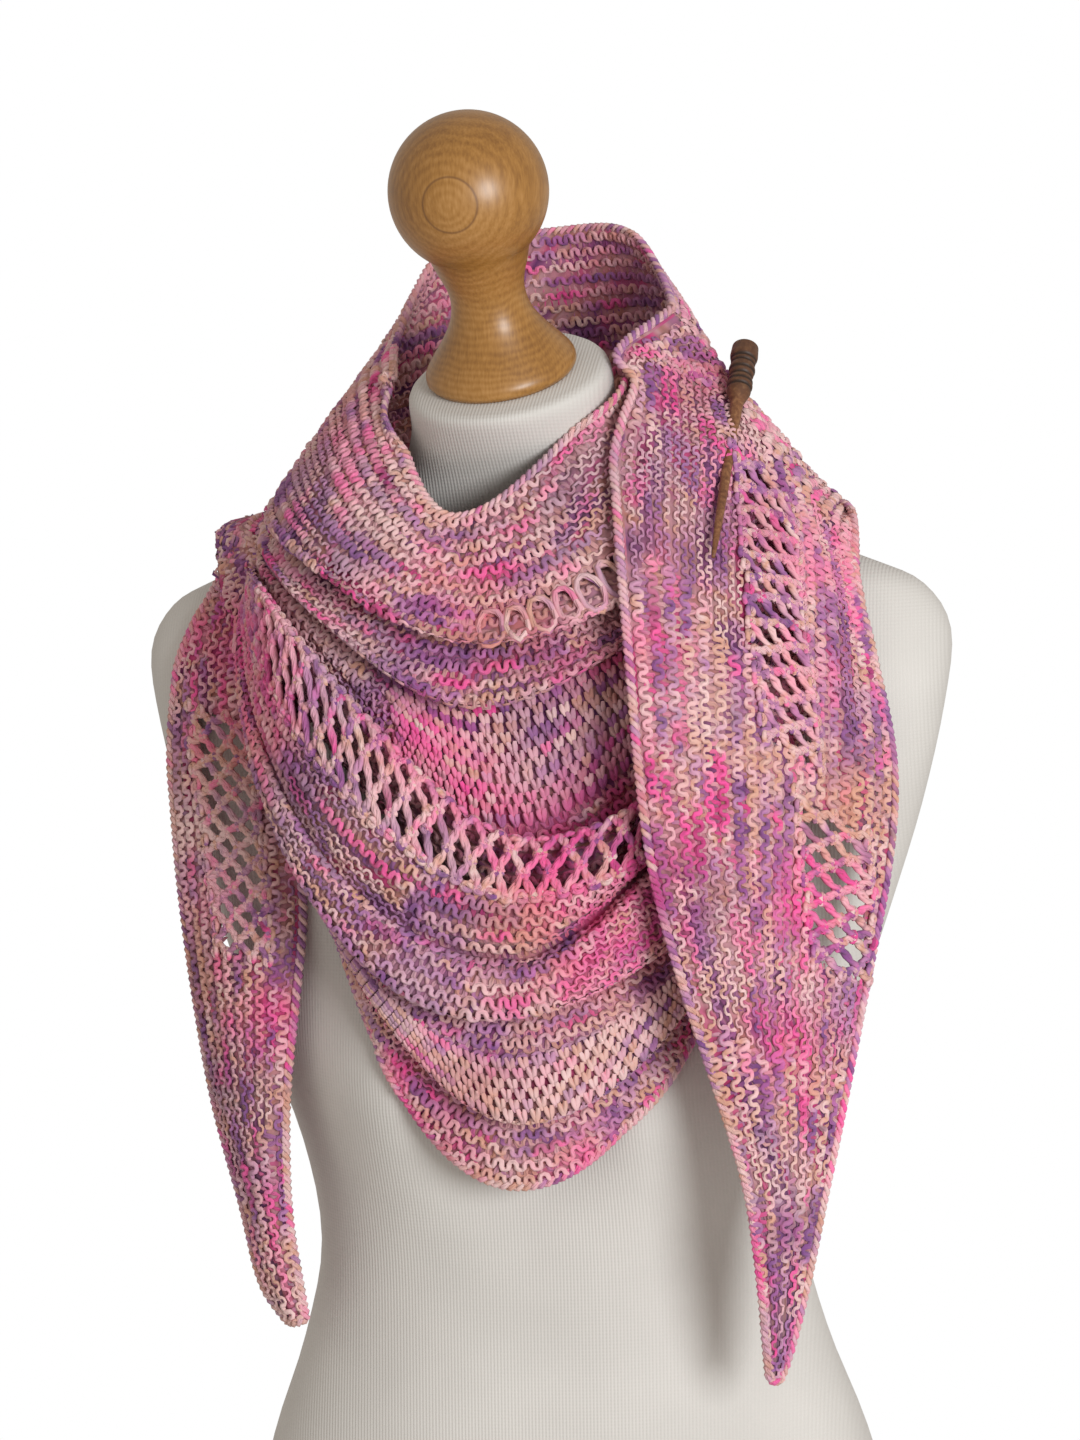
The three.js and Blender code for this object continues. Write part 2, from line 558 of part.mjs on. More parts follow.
// How far forward a piece of cloth reaches, on a grid over X and Z, spread a little and smoothed.
function coverOf(geometry) {
  const cell = COVER_CELL;
  const field = new Map();
  const key = (i, k) => `${i},${k}`;
  const position = geometry.attributes.position;
  const corner = (n) => new THREE.Vector3().fromBufferAttribute(position, n);
  const order = geometry.index.array;
  for (let n = 0; n < order.length; n += 3) {
    const [a, b, c] = [corner(order[n]), corner(order[n + 1]), corner(order[n + 2])];
    const longest = Math.max(a.distanceTo(b), b.distanceTo(c), c.distanceTo(a));
    const parts = Math.ceil(longest / (cell * COVER_STEP));
    for (let i = 0; i <= parts; i += 1) {
      for (let k = 0; k <= parts - i; k += 1) {
        const p = a.clone().multiplyScalar(1 - (i + k) / parts);
        p.addScaledVector(b, i / parts).addScaledVector(c, k / parts);
        for (let u = -COVER_SPREAD; u <= COVER_SPREAD; u += 1) {
          for (let v = -COVER_SPREAD; v <= COVER_SPREAD; v += 1) {
            const at = key(Math.round(p.x / cell) + u, Math.round(p.z / cell) + v);
            field.set(at, Math.min(field.get(at) ?? Infinity, p.y));
          }
        }
      }
    }
  }
  return (x, z) => {
    let sum = 0;
    let weight = 0;
    for (let u = -COVER_BLUR; u <= COVER_BLUR; u += 1) {
      for (let v = -COVER_BLUR; v <= COVER_BLUR; v += 1) {
        const i = Math.round(x / cell) + u;
        const k = Math.round(z / cell) + v;
        const w = bell(i * cell - x, cell * COVER_SOFT) * bell(k * cell - z, cell * COVER_SOFT);
        const at = key(i, k);
        if (field.has(at)) {
          sum += w * field.get(at);
          weight += w;
        }
      }
    }
    return weight > COVER_LEAST ? sum / weight : Infinity;
  };
}

// Each point is pushed in front of the cover, and its neighbours follow part of the way.
function layOver(rows, cover) {
  const depth = (p) => Math.max(0, p.y - cover(p.x, p.z) + WALL + LAYER_GAP);
  const needed = rows.map((row) => row.map(depth));
  let push = needed;
  for (let pass = 0; pass < COVER_PASSES; pass += 1) {
    push = push.map((row, r) => row.map((own, c) => {
      const around = [push[r - 1]?.[c], push[r + 1]?.[c], row[c - 1], row[c + 1]];
      const near = around.filter((v) => v !== undefined);
      return Math.max(needed[r][c], near.reduce((sum, v) => sum + v, 0) / near.length);
    }));
  }
  rows.forEach((row, r) => row.forEach((p, c) => { p.y -= push[r][c]; }));
}

function rightTail(cover) {
  const gapped = (across, s) => {
    const onShoulder = ease(1 - (s - SHOULDER.from) / SHOULDER.length);
    return standOff(rightTailPoint(across, s), mix(UNDER_GAP, THIRD_GAP, onShoulder));
  };
  const lay = (rows) => {
    layOver(rows, cover);
    for (const p of rows.flat()) {
      p.y -= PINCH.rise * bell(p.x - PINCH.x, PINCH.wide) * bell(p.z - PINCH.z, PINCH.tall);
    }
  };
  return stripGeometry(gapped, ribbonStops, RIGHT_COLUMNS, SEAM, 0, {}, -1, lay);
}

function leftTailPoint(across, s) {
  return standOff(ribbonPoint(LEFT_TAIL, across, s), UNDER_GAP + LEFT_EXTRA, ease(1 - s / LEFT_HUG));
}

function leftTail() {
  return stripGeometry(leftTailPoint, ribbonStops, LEFT_COLUMNS, 0, 0, {}, 1);
}

function backWrapPoint(across, s) {
  const stations = BACK_WRAP.length + 1;
  const at = mix(HIDDEN_START, stations, s);
  const start = frontPoint(across * FOLD_SHARE, 1);
  const end = leftTailPoint(across, 0);
  if (at < 1) return start.lerp(ribbonPoint(BACK_WRAP, across, 0), at);
  if (at > stations - 1) return ribbonPoint(BACK_WRAP, across, 1).lerp(end, at - (stations - 1));
  return ribbonPoint(BACK_WRAP, across, (at - 1) / (BACK_WRAP.length - 1));
}

function backWrap() {
  const gapped = (across, s) => {
    const gap = mix(SECOND_GAP, BACK_GAP, ease(s / BACK_SETTLE));
    return standOff(backWrapPoint(across, s), gap, ease(s / BACK_SETTLE));
  };
  const past = { end: ribbonStops.map((line) => leftTailPoint(line, SEAM_REACH)) };
  return stripGeometry(gapped, ribbonStops, BACK_COLUMNS, SEAM, SEAM, past, 1);
}

// Solids with turned profiles
function lathe(profile, sides) {
  const geometry = new THREE.LatheGeometry(profile.map(([r, h]) => new THREE.Vector2(r, h)), sides);
  geometry.deleteAttribute('normal');
  geometry.deleteAttribute('uv');
  return mergeVertices(geometry, 1e-3);
}

function finialGeometry() {
  const profile = [[0, 0]];
  for (const { h, r } of FINIAL_FOOT) profile.push([r, h]);
  const start = Math.PI - Math.asin(BALL.startRadius / BALL.radius);
  for (let k = 0; k < BALL.steps; k += 1) {
    const angle = start * (1 - k / BALL.steps);
    profile.push([BALL.radius * Math.sin(angle), BALL.height + BALL.radius * Math.cos(angle)]);
  }
  profile.push([0, BALL.height + BALL.radius]);
  return lathe(profile, FINIAL_SIDES);
}

function stickGeometry(extra) {
  const length = STICK_HEAD.distanceTo(STICK_POINT);
  const profile = [[0, -extra]];
  for (const { along, r } of STICK_PROFILE) profile.push([r + extra, along * length]);
  profile.push([0, length + extra]);
  const geometry = lathe(profile, STICK_SIDES);
  const axis = STICK_HEAD.clone().sub(STICK_POINT).normalize();
  const turn = new THREE.Quaternion().setFromUnitVectors(new THREE.Vector3(0, 1, 0), axis);
  geometry.applyQuaternion(turn);
  geometry.translate(STICK_POINT.x, STICK_POINT.y, STICK_POINT.z);
  return geometry;
}

// Boolean cuts
const wasm = await Module();
wasm.setup();

function toManifold(geometry) {
  const merged = mergeVertices(geometry, 1e-4);
  return new wasm.Manifold(new wasm.Mesh({
    numProp: 3,
    vertProperties: Float32Array.from(merged.attributes.position.array),
    triVerts: Uint32Array.from(merged.index.array),
  }));
}

function fromManifold(solid) {
  const mesh = solid.getMesh();
  const geometry = new THREE.BufferGeometry();
  geometry.setAttribute('position', new THREE.BufferAttribute(Float32Array.from(mesh.vertProperties), 3));
  geometry.setIndex(new THREE.BufferAttribute(Uint32Array.from(mesh.triVerts), 1));
  return geometry;
}

// Eyelets of the lace bands on the tails, in rows that alternate.
function withEyelets(solid, pointAt, bands) {
  let cut = solid;
  for (const band of bands) {
    for (let n = 0; n < band.count; n += 1) {
      for (let row = 0; row < band.rows; row += 1) {
        const share = (n + (row % 2) / 2) / band.count;
        const s = mix(band.from, band.to, share);
        const line = mix(band.firstLine, band.lastLine, share) + (row - (band.rows - 1) / 2) * band.apart;
        const along = pointAt(line, s + 0.01).sub(pointAt(line, s - 0.01)).normalize();
        const across = pointAt(line + 0.5, s).sub(pointAt(line - 0.5, s)).normalize();
        const out = along.clone().cross(across).normalize();
        const square = new THREE.Matrix4().makeBasis(along, out.clone().cross(along), out);
        const hole = new THREE.BoxGeometry(EYELET.along, EYELET.across, EYELET.deep);
        hole.deleteAttribute('normal');
        hole.deleteAttribute('uv');
        hole.applyMatrix4(square.setPosition(pointAt(line, s)));
        cut = cut.subtract(toManifold(hole));
      }
    }
  }
  return cut;
}

// Assembly
function piece(name, geometry, color, roughness) {
  const material = new THREE.MeshStandardMaterial({ color, roughness, metalness: 0 });
  const mesh = new THREE.Mesh(geometry, material);
  mesh.name = name;
  return mesh;
}

const part = new THREE.Group();
const draped = new THREE.Group();
draped.rotation.z = TURN;
part.add(draped);

const rings = [];
for (let k = 0; k <= (FORM_SECTIONS.length - 1) * FORM_RINGS_PER_SECTION; k += 1) {
  rings.push(formRing(k / FORM_RINGS_PER_SECTION));
}
const crown = FORM_SECTIONS[FORM_SECTIONS.length - 1];
part.add(piece(
  'dress_form',
  ringSolid(rings, new THREE.Vector3(0, 4, 0), new THREE.Vector3(0, crown.centreY, crown.z)),
  0xe9e6e2,
  0.85,
));

const finial = piece('neck_finial', finialGeometry(), 0xb9823f, 0.35);
const slope = Math.tan(LEAN);
const finialAxis = new THREE.Vector3(-slope * SIDE_SHARE, -slope, 1).normalize();
finial.quaternion.setFromUnitVectors(new THREE.Vector3(0, 1, 0), finialAxis);
finial.position.set(FINIAL_SHIFT, crown.centreY, crown.z + FINIAL_SHIFT * slope * SIDE_SHARE);
finial.position.addScaledVector(finialAxis, SEAM);
part.add(finial);

const front = frontDrape();
const plainFront = toManifold(front);
const grownFront = toManifold(frontDrape(SEAM));
const trimmed = (geometry) => {
  const cut = toManifold(geometry).subtract(grownFront).simplify(LEAST_EDGE).subtract(plainFront);
  const pieces = cut.decompose();
  pieces.sort((a, b) => b.volume() - a.volume());
  return fromManifold(pieces[0].simplify(LEAST_EDGE));
};
const stickEnvelope = toManifold(stickGeometry(STICK_CLEARANCE));
const pinnedTail = toManifold(rightTail(coverOf(front))).subtract(stickEnvelope);
const pierced = withEyelets(pinnedTail, rightTailPoint, RIGHT_EYELETS);
const leftPierced = withEyelets(toManifold(leftTail()), leftTailPoint, LEFT_EYELETS);
draped.add(piece('front_drape', front, 0xd9a9c4, 0.95));
draped.add(piece('collar_wrap', trimmed(collarWrap()), 0xd3a3c6, 0.95));
draped.add(piece('back_wrap', backWrap(), 0xd6a6bf, 0.95));
draped.add(piece('right_tail', fromManifold(pierced), 0xdba8c6, 0.95));
draped.add(piece('left_tail', fromManifold(leftPierced), 0xd8b0c4, 0.95));
draped.add(piece('shawl_stick', stickGeometry(0), 0x5a3a26, 0.5));

export default part;
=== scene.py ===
# %% [markdown]
# # Hand-knit shawl on a dress form
# A triangular shawl in hand-dyed yarn is worn with its point in front: the cloth hangs in swags
# over the chest, goes round the back of the neck as a collar, and one tail is pinned over it.
# The cloth is built as surfaces first, and then every ridge of knitting is laid on them as yarn.

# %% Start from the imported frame
import math

import bmesh
import bpy
import numpy as np
from mathutils import Matrix, Vector


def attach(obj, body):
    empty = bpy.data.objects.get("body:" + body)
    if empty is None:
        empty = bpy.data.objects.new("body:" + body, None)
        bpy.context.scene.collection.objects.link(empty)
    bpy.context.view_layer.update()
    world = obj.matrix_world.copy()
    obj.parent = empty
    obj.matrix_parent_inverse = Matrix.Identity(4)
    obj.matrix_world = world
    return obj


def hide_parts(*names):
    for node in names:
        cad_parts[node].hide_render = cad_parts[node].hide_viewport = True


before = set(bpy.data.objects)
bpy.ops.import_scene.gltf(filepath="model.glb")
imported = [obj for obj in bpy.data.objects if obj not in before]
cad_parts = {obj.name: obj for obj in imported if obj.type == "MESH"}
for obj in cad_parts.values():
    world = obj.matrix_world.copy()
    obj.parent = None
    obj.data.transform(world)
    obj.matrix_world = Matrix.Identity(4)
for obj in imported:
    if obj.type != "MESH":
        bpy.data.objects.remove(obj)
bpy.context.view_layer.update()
rng = np.random.default_rng(11)
MM = 0.001
print("nodes", sorted(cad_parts))

# %% [markdown]
# ## Camera
# The photograph looks slightly down on the form and a little from its left, from two metres off.
# Its frame is 1080 by 1440 pixels, and one pixel covers 0.48 mm at the distance of the chest.

# %% Camera
TURN = math.radians(10)
TARGET = (-2.0, 0.0, 456.0)
DISTANCE = 1900.0
PHOTO_WIDE = 1080
PHOTO_TALL = 1440
PHOTO_SCALE = 0.48
ELEVATION = math.radians(4)
ROLL = math.radians(2)


def to_part(p):
    """Points of the cloth's turned group, seen from three-quarters, in the part's own frame."""
    c, s = math.cos(TURN), math.sin(TURN)
    return np.stack([c * p[..., 0] - s * p[..., 1], s * p[..., 0] + c * p[..., 1], p[..., 2]], -1)


def to_group(p):
    """The other way: points of the part's frame in the cloth's turned group."""
    c, s = math.cos(TURN), math.sin(TURN)
    return np.stack([c * p[..., 0] + s * p[..., 1], -s * p[..., 0] + c * p[..., 1], p[..., 2]], -1)


def camera_axes():
    """The camera's right, up and forward directions."""
    right = np.array([math.cos(TURN), math.sin(TURN), 0.0])
    forward = np.array([
        -math.sin(TURN) * math.cos(ELEVATION),
        math.cos(TURN) * math.cos(ELEVATION),
        -math.sin(ELEVATION),
    ])
    up = np.cross(right, forward)
    rolled_right = right * math.cos(ROLL) - up * math.sin(ROLL)
    rolled_up = right * math.sin(ROLL) + up * math.cos(ROLL)
    return rolled_right, rolled_up, forward


def make_camera():
    right, up, forward = camera_axes()
    target = to_part(np.array(TARGET))
    place = (target - forward * DISTANCE) * MM
    data = bpy.data.cameras.new("camera")
    data.sensor_fit = "VERTICAL"
    data.angle = 2 * math.atan(PHOTO_TALL * PHOTO_SCALE / 2 / DISTANCE)
    data.clip_end = 50
    camera = bpy.data.objects.new("camera", data)
    bpy.context.scene.collection.objects.link(camera)
    turn = Matrix((right, up, -forward)).transposed().to_4x4()
    camera.matrix_world = Matrix.Translation(place) @ turn
    bpy.context.scene.camera = camera


make_camera()
print("the camera stands", DISTANCE / 1000, "m from the chest")

# %% [markdown]
# ## One function for every node
# A material is a tree of nodes. A single small function adds any node together with its settings
# and what is linked to it, so each material below reads from top to bottom. Colours are written
# as screen colours, six hexadecimal digits, and turned to linear light, which shaders work in.

# %% Colour and node helpers
# Sockets of a Mix node for colours: its share, its two colours and its result.
SHARE, ONE, TWO, MIXED = 0, 6, 7, 2


def linear(code):
    """A screen colour such as d9a9c4 as linear light."""
    parts = [int(code[i:i + 2], 16) / 255 for i in (0, 2, 4)]
    return tuple(c / 12.92 if c <= 0.04045 else ((c + 0.055) / 1.055) ** 2.4 for c in parts) + (1,)


def join(tree, node, inputs):
    """Gives sockets, by number or by name, a value, an output or a node's first output."""
    for socket, value in (inputs.items() if isinstance(inputs, dict) else enumerate(inputs)):
        if isinstance(value, bpy.types.Node):
            value = value.outputs[0]
        if isinstance(value, bpy.types.NodeSocket):
            tree.links.new(value, node.inputs[socket])
        else:
            node.inputs[socket].default_value = value


def add(tree, kind, inputs=(), stops=(), **settings):
    """A shader node with its settings and links. stops are a ramp's places and screen colours."""
    node = tree.nodes.new("ShaderNode" + kind)
    for key, value in settings.items():
        setattr(node, key, value)
    for _ in stops[2:]:
        node.color_ramp.elements.new(0.5)
    for number, (place, code) in enumerate(stops):
        node.color_ramp.elements[number].position = place
        node.color_ramp.elements[number].color = linear(code)
    join(tree, node, inputs)
    return node


def material(name, **values):
    """A new material and its surface shader, with the values that are the same all over."""
    m = bpy.data.materials.new(name)
    m.use_nodes = True
    shader = m.node_tree.nodes["Principled BSDF"]
    for key, value in values.items():
        shader.inputs[key.replace("_", " ")].default_value = value
    return m, m.node_tree, shader


print("a mid pink in linear light", [round(v, 3) for v in linear("f576ab")])

# %% [markdown]
# ## Light
# The backdrop is white, as in the photograph, and the room's own light is dimmer and a little
# warm. One large soft lamp on the right, hardly higher than the cloth, stands in for the window:
# it lights the fronts of the folds and leaves their tops and left sides in shade.

# %% Light
ROOM_LIGHT = 0.5
CHEST = Vector((0, 0, 0.42))


def area_light(name, place, size, power, color):
    data = bpy.data.lights.new(name, "AREA")
    data.shape = "DISK"
    data.size = size
    data.energy = power
    data.color = color
    lamp = bpy.data.objects.new(name, data)
    bpy.context.scene.collection.objects.link(lamp)
    lamp.location = place
    aim = CHEST - Vector(place)
    lamp.rotation_euler = aim.to_track_quat("-Z", "Y").to_euler()
    print(name, "stands", round(aim.length, 2), "m from the chest")


area_light("window", place=(1.35, -1.85, 0.6), size=0.9, power=35, color=(0.98, 1.0, 1.02))
world = bpy.data.worlds.new("room")
world.use_nodes = True
tree = world.node_tree
backdrop = tree.nodes["Background"]
backdrop.inputs["Color"].default_value = (1.0, 1.0, 1.0, 1)
room = add(tree, "Background", {"Color": (1.0, 0.93, 0.86, 1), "Strength": ROOM_LIGHT})
seen = add(tree, "LightPath")
both = add(tree, "MixShader", [seen.outputs["Is Camera Ray"], room, backdrop])
join(tree, tree.nodes["World Output"], {"Surface": both})
bpy.context.scene.world = world
bpy.context.scene.view_settings.view_transform = "Standard"

# %% [markdown]
# ## Floor
# A small disc of matt white paper takes the form's soft shadow. It fades out before its edge, so
# the form seems to stand on an endless sheet.

# %% Floor
FLOOR_RADIUS = 0.4
FLOOR_FADE = (0.2, 0.38)


def floor_material():
    m, tree, shader = material("white_paper_rolled_matt", Base_Color=linear("f4f3f1"), Roughness=0.9)
    place = add(tree, "TexCoord").outputs["Object"]
    away = add(tree, "VectorMath", [place], operation="LENGTH").outputs["Value"]
    low, high = FLOOR_FADE
    fade = add(tree, "MapRange", {"Value": away, "From Min": low, "From Max": high},
               interpolation_type="SMOOTHSTEP")
    clear = add(tree, "BsdfTransparent")
    both = add(tree, "MixShader", [fade, shader, clear])
    join(tree, tree.nodes["Material Output"], {"Surface": both})
    return m


def make_floor():
    bpy.ops.mesh.primitive_circle_add(vertices=96, radius=FLOOR_RADIUS, fill_type="NGON")
    floor = bpy.context.object
    floor.name = "floor"
    floor.data.materials.append(floor_material())


make_floor()
print("floor radius", FLOOR_RADIUS, "m, clear from", FLOOR_FADE[1], "m")

# %% [markdown]
# ## Sections of the form
# The same named sizes shape the solids and the picture, in millimetres. The form is given by its
# level sections from the base to the neck: half widths, depths to the front and the back, how
# square each one is and how far it tilts. A swelling on each side makes the bust.

# %% Form sections


def table(columns, rows):
    """Rows of values as dictionaries, with the columns' names as keys."""
    names = columns.split(" ")
    return [dict(zip(names, row)) for row in rows]


SIDE_SHARE = 0.15
BUST = {"x": 64, "z": 286, "rise": 26, "wide": 40, "tall": 48}
FORM_SECTIONS = table(
    "name z halfWidth front back centreY square tilt",
    [
        ["base",           0, 163, 96, 104,   4, 2.2,  0],
        ["hips",          55, 158, 96, 104,   3, 2.2,  0],
        ["belly",        110, 145, 92,  94,   1, 2.2,  0],
        ["lowWaist",     160, 127, 86,  82,   0, 2.2,  0],
        ["waist",        208, 117, 82,  76,   0, 2.2,  0],
        ["ribs",         258, 125, 86,  77,   2, 2.2,  0],
        ["bust",         310, 144, 92,  82,   4, 2.3,  0],
        ["armpit",       363, 163, 90,  82,   7, 2.3,  0],
        ["chest",        411, 179, 84,  80,   9, 2.3,  0],
        ["upperChest",   459, 191, 76,  76,  11, 2.3,  0],
        ["caps",         494, 195, 68,  72,  12, 2.2,  0],
        ["capTop",       516, 183, 60,  64,  10, 2.1,  0],
        ["shoulder",     528, 160, 54,  57,   5, 2.0,  0],
        ["slope",        542, 124, 50,  52,  -4, 2.0,  0],
        ["neckFoot",     558,  84, 48,  48, -18, 2.0,  0],
        ["neckLow",      576,  60, 46,  46, -32, 2.0,  4],
        ["neck",         598,  49, 46,  46, -48, 2.0, 14],
        ["neckRim",      617,  47, 45,  45, -60, 2.0, 23],
        ["neckTop",    621.5,  42, 41,  41, -62, 2.0, 25],
    ],
)
print("the form is", FORM_SECTIONS[-1]["z"], "mm tall with", len(FORM_SECTIONS), "sections")

# %% [markdown]
# ## Courses of the front
# A course is one row of knitting, from the neck edge down to the hem. It hangs like a chain from
# a left point over a low point to a right point, and more or less round on either side. Courses
# that lie behind their neighbours make the folds between the swags.

# %% Courses
WALL = 2.6
COURSES = table(
    "name leftX leftY leftZ lowX lowY lowZ rightX rightY rightZ roundL roundR bowL bowR cuts",
    [
        ["neckEdge",     -66,  -5, 637, -37, -104, 557,  60, -14, 628,    1, -0.2,  4,  6, 2],
        ["cowlFace",     -94,  -8, 610, -32, -124, 530,  82, -14, 596,  0.7,  0.1,  8,  6, 4],
        ["cowlFold",    -126, -20, 566, -27, -138, 500, 106, -26, 563,  0.4,  0.4, 12,  8, 2],
        ["cowlTuck",    -127, -16, 560, -29, -114, 528, 107, -18, 558,  0.4,  0.4,  6,  4, 1],
        ["bandFace",    -129, -22, 556, -29, -127, 487, 110, -22, 554,  0.4,  0.2,  8,  6, 2],
        ["bandFold",    -131, -28, 552, -31, -134, 472, 113, -26, 550,  0.3,  0.1, 10,  8, 1],
        ["bandTuck",    -132, -26, 547, -28, -120, 475, 115, -20, 546,  0.3,  0.1,  6,  4, 2],
        ["pocketFace",  -133, -29, 542, -19, -126, 434, 116, -24, 542,  0.1,  0.3,  6,  4, 2],
        ["pocketFloor", -134, -29, 540, -12, -124, 384, 118, -22, 536,  0.5,  0.6,  0,  0, 3],
        ["swagTop",     -136, -38, 535,  -7, -150, 413, 120, -28, 535,    0, 0.75,  8,  4, 5],
        ["laceFoot",    -138, -42, 529, -12, -157, 388, 122, -32, 529,  0.6, 0.85, 10,  4, 1],
        ["swagFace",    -140, -45, 523, -20, -153, 370, 124, -36, 524,  0.8,  0.5,  8,  2, 1],
        ["mouthTuck",   -141, -46, 519, -20, -147, 360, 126, -34, 520,  0.9, 0.35,  6, -8, 1],
        ["mouthFold",   -143, -46, 515, -21, -152, 355, 127, -38, 516,  0.9,  0.4,  6,  8, 2],
        ["swagFold",    -144, -48, 510, -32, -150, 333, 128, -38, 511,  0.9,  0.9,  4,  8, 2],
        ["swagTuck",    -143, -44, 507, -31, -132, 339, 127, -30, 507,  0.9,  0.9,  0,  0, 1],
        ["stockFace",   -139, -42, 510, -22, -137, 313, 124, -25, 508, 0.85,  0.9,  0,  2, 2],
        ["stockFold",   -135, -40, 514, -17, -135, 285, 121, -21, 509, 0.75, 0.85,  0,  2, 1],
        ["hemTuck",     -130, -38, 517, -17, -123, 290, 117, -17, 510,  0.8, 0.85,  0,  0, 1],
        ["hemFace",     -124, -37, 520, -18, -123, 270, 113, -14, 511, 0.95,  0.9,  0,  0, 1],
        ["hemEdge",     -118, -36, 523, -19, -120, 252, 109, -11, 512,    1,  0.9,  0,  0, 0],
    ],
)
COURSE_INDEX = {row["name"]: i for i, row in enumerate(COURSES)}
LAST_COURSE = len(COURSES) - 1
FOLD_SHARE = COURSE_INDEX["swagFold"] / LAST_COURSE
print("courses", len(COURSES), "in cloth", WALL, "mm thick")

# %% [markdown]
# ## Stations of the collar, the tails and the back
# Round the neck each course goes on at a radius and a height for the left, the back, the turn and
# the right. The tails and the back are ribbons: at each station along them, three points give
# their edge, middle and hem.

# %% Stations
COLLAR_AXIS = (2, -3)
COLLAR_STOPS = [0, 0.22, 0.5, 0.76, 1]
COLLAR_END_ANGLE = math.radians(-6)
COLLAR_COURSES = table(
    "at leftR leftZ backR backZ turnR turnZ rightR rightZ",
    [
        ["neckEdge",   67, 682,  68, 692,  62, 688,  66, 650],
        ["cowlFace",   78, 655,  80, 660,  78, 660,  81, 635],
        ["cowlFold",  100, 612,  96, 620,  94, 622,  92, 617],
        ["bandTuck",  104, 588,  92, 600,  96, 600, 104, 602],
        ["laceFoot",  112, 558, 102, 566, 110, 572, 120, 584],
        ["swagFold",  119, 542, 106, 530, 120, 546, 132, 568],
        ["stockFold", 121, 536, 108, 512, 128, 534, 146, 556],
        ["hemEdge",   123, 531, 108, 494, 136, 522, 139, 551],
    ],
)
RIBBON_COLUMNS = "name edgeX edgeY edgeZ midX midY midZ hemX hemY hemZ"
RIGHT_TAIL = table(
    RIBBON_COLUMNS,
    [
        ["shoulder",   39,  -32, 631, 103,  -12, 595, 147,  -42, 513],
        ["collarbone", 36,  -66, 598, 106,  -54, 557, 153,  -56, 480],
        ["chest",      36, -108, 553, 101,  -92, 514, 159,  -62, 446],
        ["upperFold",  38, -142, 500,  99, -116, 465, 159,  -66, 416],
        ["bust",       41, -158, 439,  97, -128, 416, 154,  -72, 384],
        ["swing",      46, -160, 395,  96, -136, 379, 147,  -80, 355],
        ["underBust",  57, -156, 348,  97, -138, 339, 138,  -92, 320],
        ["hang",       72, -142, 296, 100, -132, 289, 128, -104, 280],
        ["taper",      83, -134, 254, 101, -128, 250, 119, -110, 244],
        ["narrow",     88, -128, 212,  99, -124, 209, 110, -112, 205],
        ["point",      90, -124, 179,  96, -122, 178, 102, -114, 176],
        ["tip",        91, -121, 164,  94, -120, 163,  97, -116, 163],
    ],
)
LEFT_TAIL = table(
    RIBBON_COLUMNS,
    [
        ["top",        -104,   4, 556, -128,   6, 548, -144,   8, 538],
        ["crest",      -112, -34, 538, -136, -26, 534, -151, -18, 520],
        ["collarbone", -117, -48, 486, -148, -42, 494, -172, -28, 492],
        ["chest",      -117, -57, 432, -147, -56, 445, -180, -34, 454],
        ["lace",       -116, -67, 400, -145, -67, 406, -179, -40, 413],
        ["turn",       -116, -75, 370, -145, -75, 376, -177, -44, 380],
        ["hang",       -120, -81, 336, -145, -82, 337, -172, -50, 334],
        ["taper",      -127, -80, 284, -145, -80, 284, -164, -56, 281],
        ["narrow",     -128, -79, 233, -140, -79, 233, -152, -62, 232],
        ["point",      -124, -78, 197, -134, -78, 197, -144, -66, 196],
        ["tip",        -122, -76, 181, -127, -76, 179, -132, -70, 178],
    ],
)
BACK_WRAP = table(
    RIBBON_COLUMNS,
    [
        ["overRight",   60, 12, 590,   92,  6, 562,  122,  4, 545],
        ["rightBack",   52, 52, 562,   84, 66, 530,  112, 76, 486],
        ["back",        -4, 66, 556,    0, 84, 500,    2, 90, 438],
        ["leftBack",   -66, 56, 560,  -88, 74, 516, -108, 82, 462],
        ["overLeft",  -104, 30, 556, -128, 40, 544, -154, 46, 516],
    ],
)
print("stations", len(RIGHT_TAIL), len(LEFT_TAIL), len(BACK_WRAP))

# %% [markdown]
# ## Curves through the tables
# Cloth has no corners, so a smooth curve runs through each column of a table. Three small
# functions do the rest: one mixes, one eases in and out, and one makes a rounded hump.

# %% Curves


def mix(a, b, t):
    return a + (b - a) * t


def ease(t):
    c = np.clip(t, 0, 1)
    return c * c * (3 - 2 * c)


def bell(x, width):
    return np.exp(-(x * x) / (width * width))


def curve(p0, p1, p2, p3, t):
    """A smooth curve from p1 to p2 whose slopes come from the points on either side."""
    m1, m2 = (p2 - p0) / 2, (p3 - p1) / 2
    t2, t3 = t * t, t * t * t
    return (2 * t3 - 3 * t2 + 1) * p1 + (t3 - 2 * t2 + t) * m1 + (3 * t2 - 2 * t3) * p2 + (t3 - t2) * m2


def through(values, at):
    """A smooth curve through evenly numbered values (first axis), at any places."""
    values = np.asarray(values, float)
    at = np.asarray(at, float)
    last = len(values) - 1
    k = np.clip(np.floor(at).astype(int), 0, last - 1)
    t = at - k
    t = t.reshape(t.shape + (1,) * (values.ndim - 1))
    p1, p2 = values[k], values[k + 1]
    p0, p3 = values[np.maximum(k - 1, 0)], values[np.minimum(k + 2, last)]
    return curve(p0, p1, p2, p3, t)


def column(rows, key, at):
    """A column of a table at places between its rows."""
    return through([row[key] for row in rows], at)


print("half width at the waist", column(FORM_SECTIONS, "halfWidth", 4), "mm")

# %% [markdown]
# ## Off the form
# Worn cloth can't pass into the body under it. Points of the cloth that lie too deep are pushed
# out, step by step, until they clear the form by the gap that their layer needs.

# %% Clearance


def bust_rise(x, z):
    return BUST["rise"] * bell(np.abs(x) - BUST["x"], BUST["wide"]) * bell(z - BUST["z"], BUST["tall"])


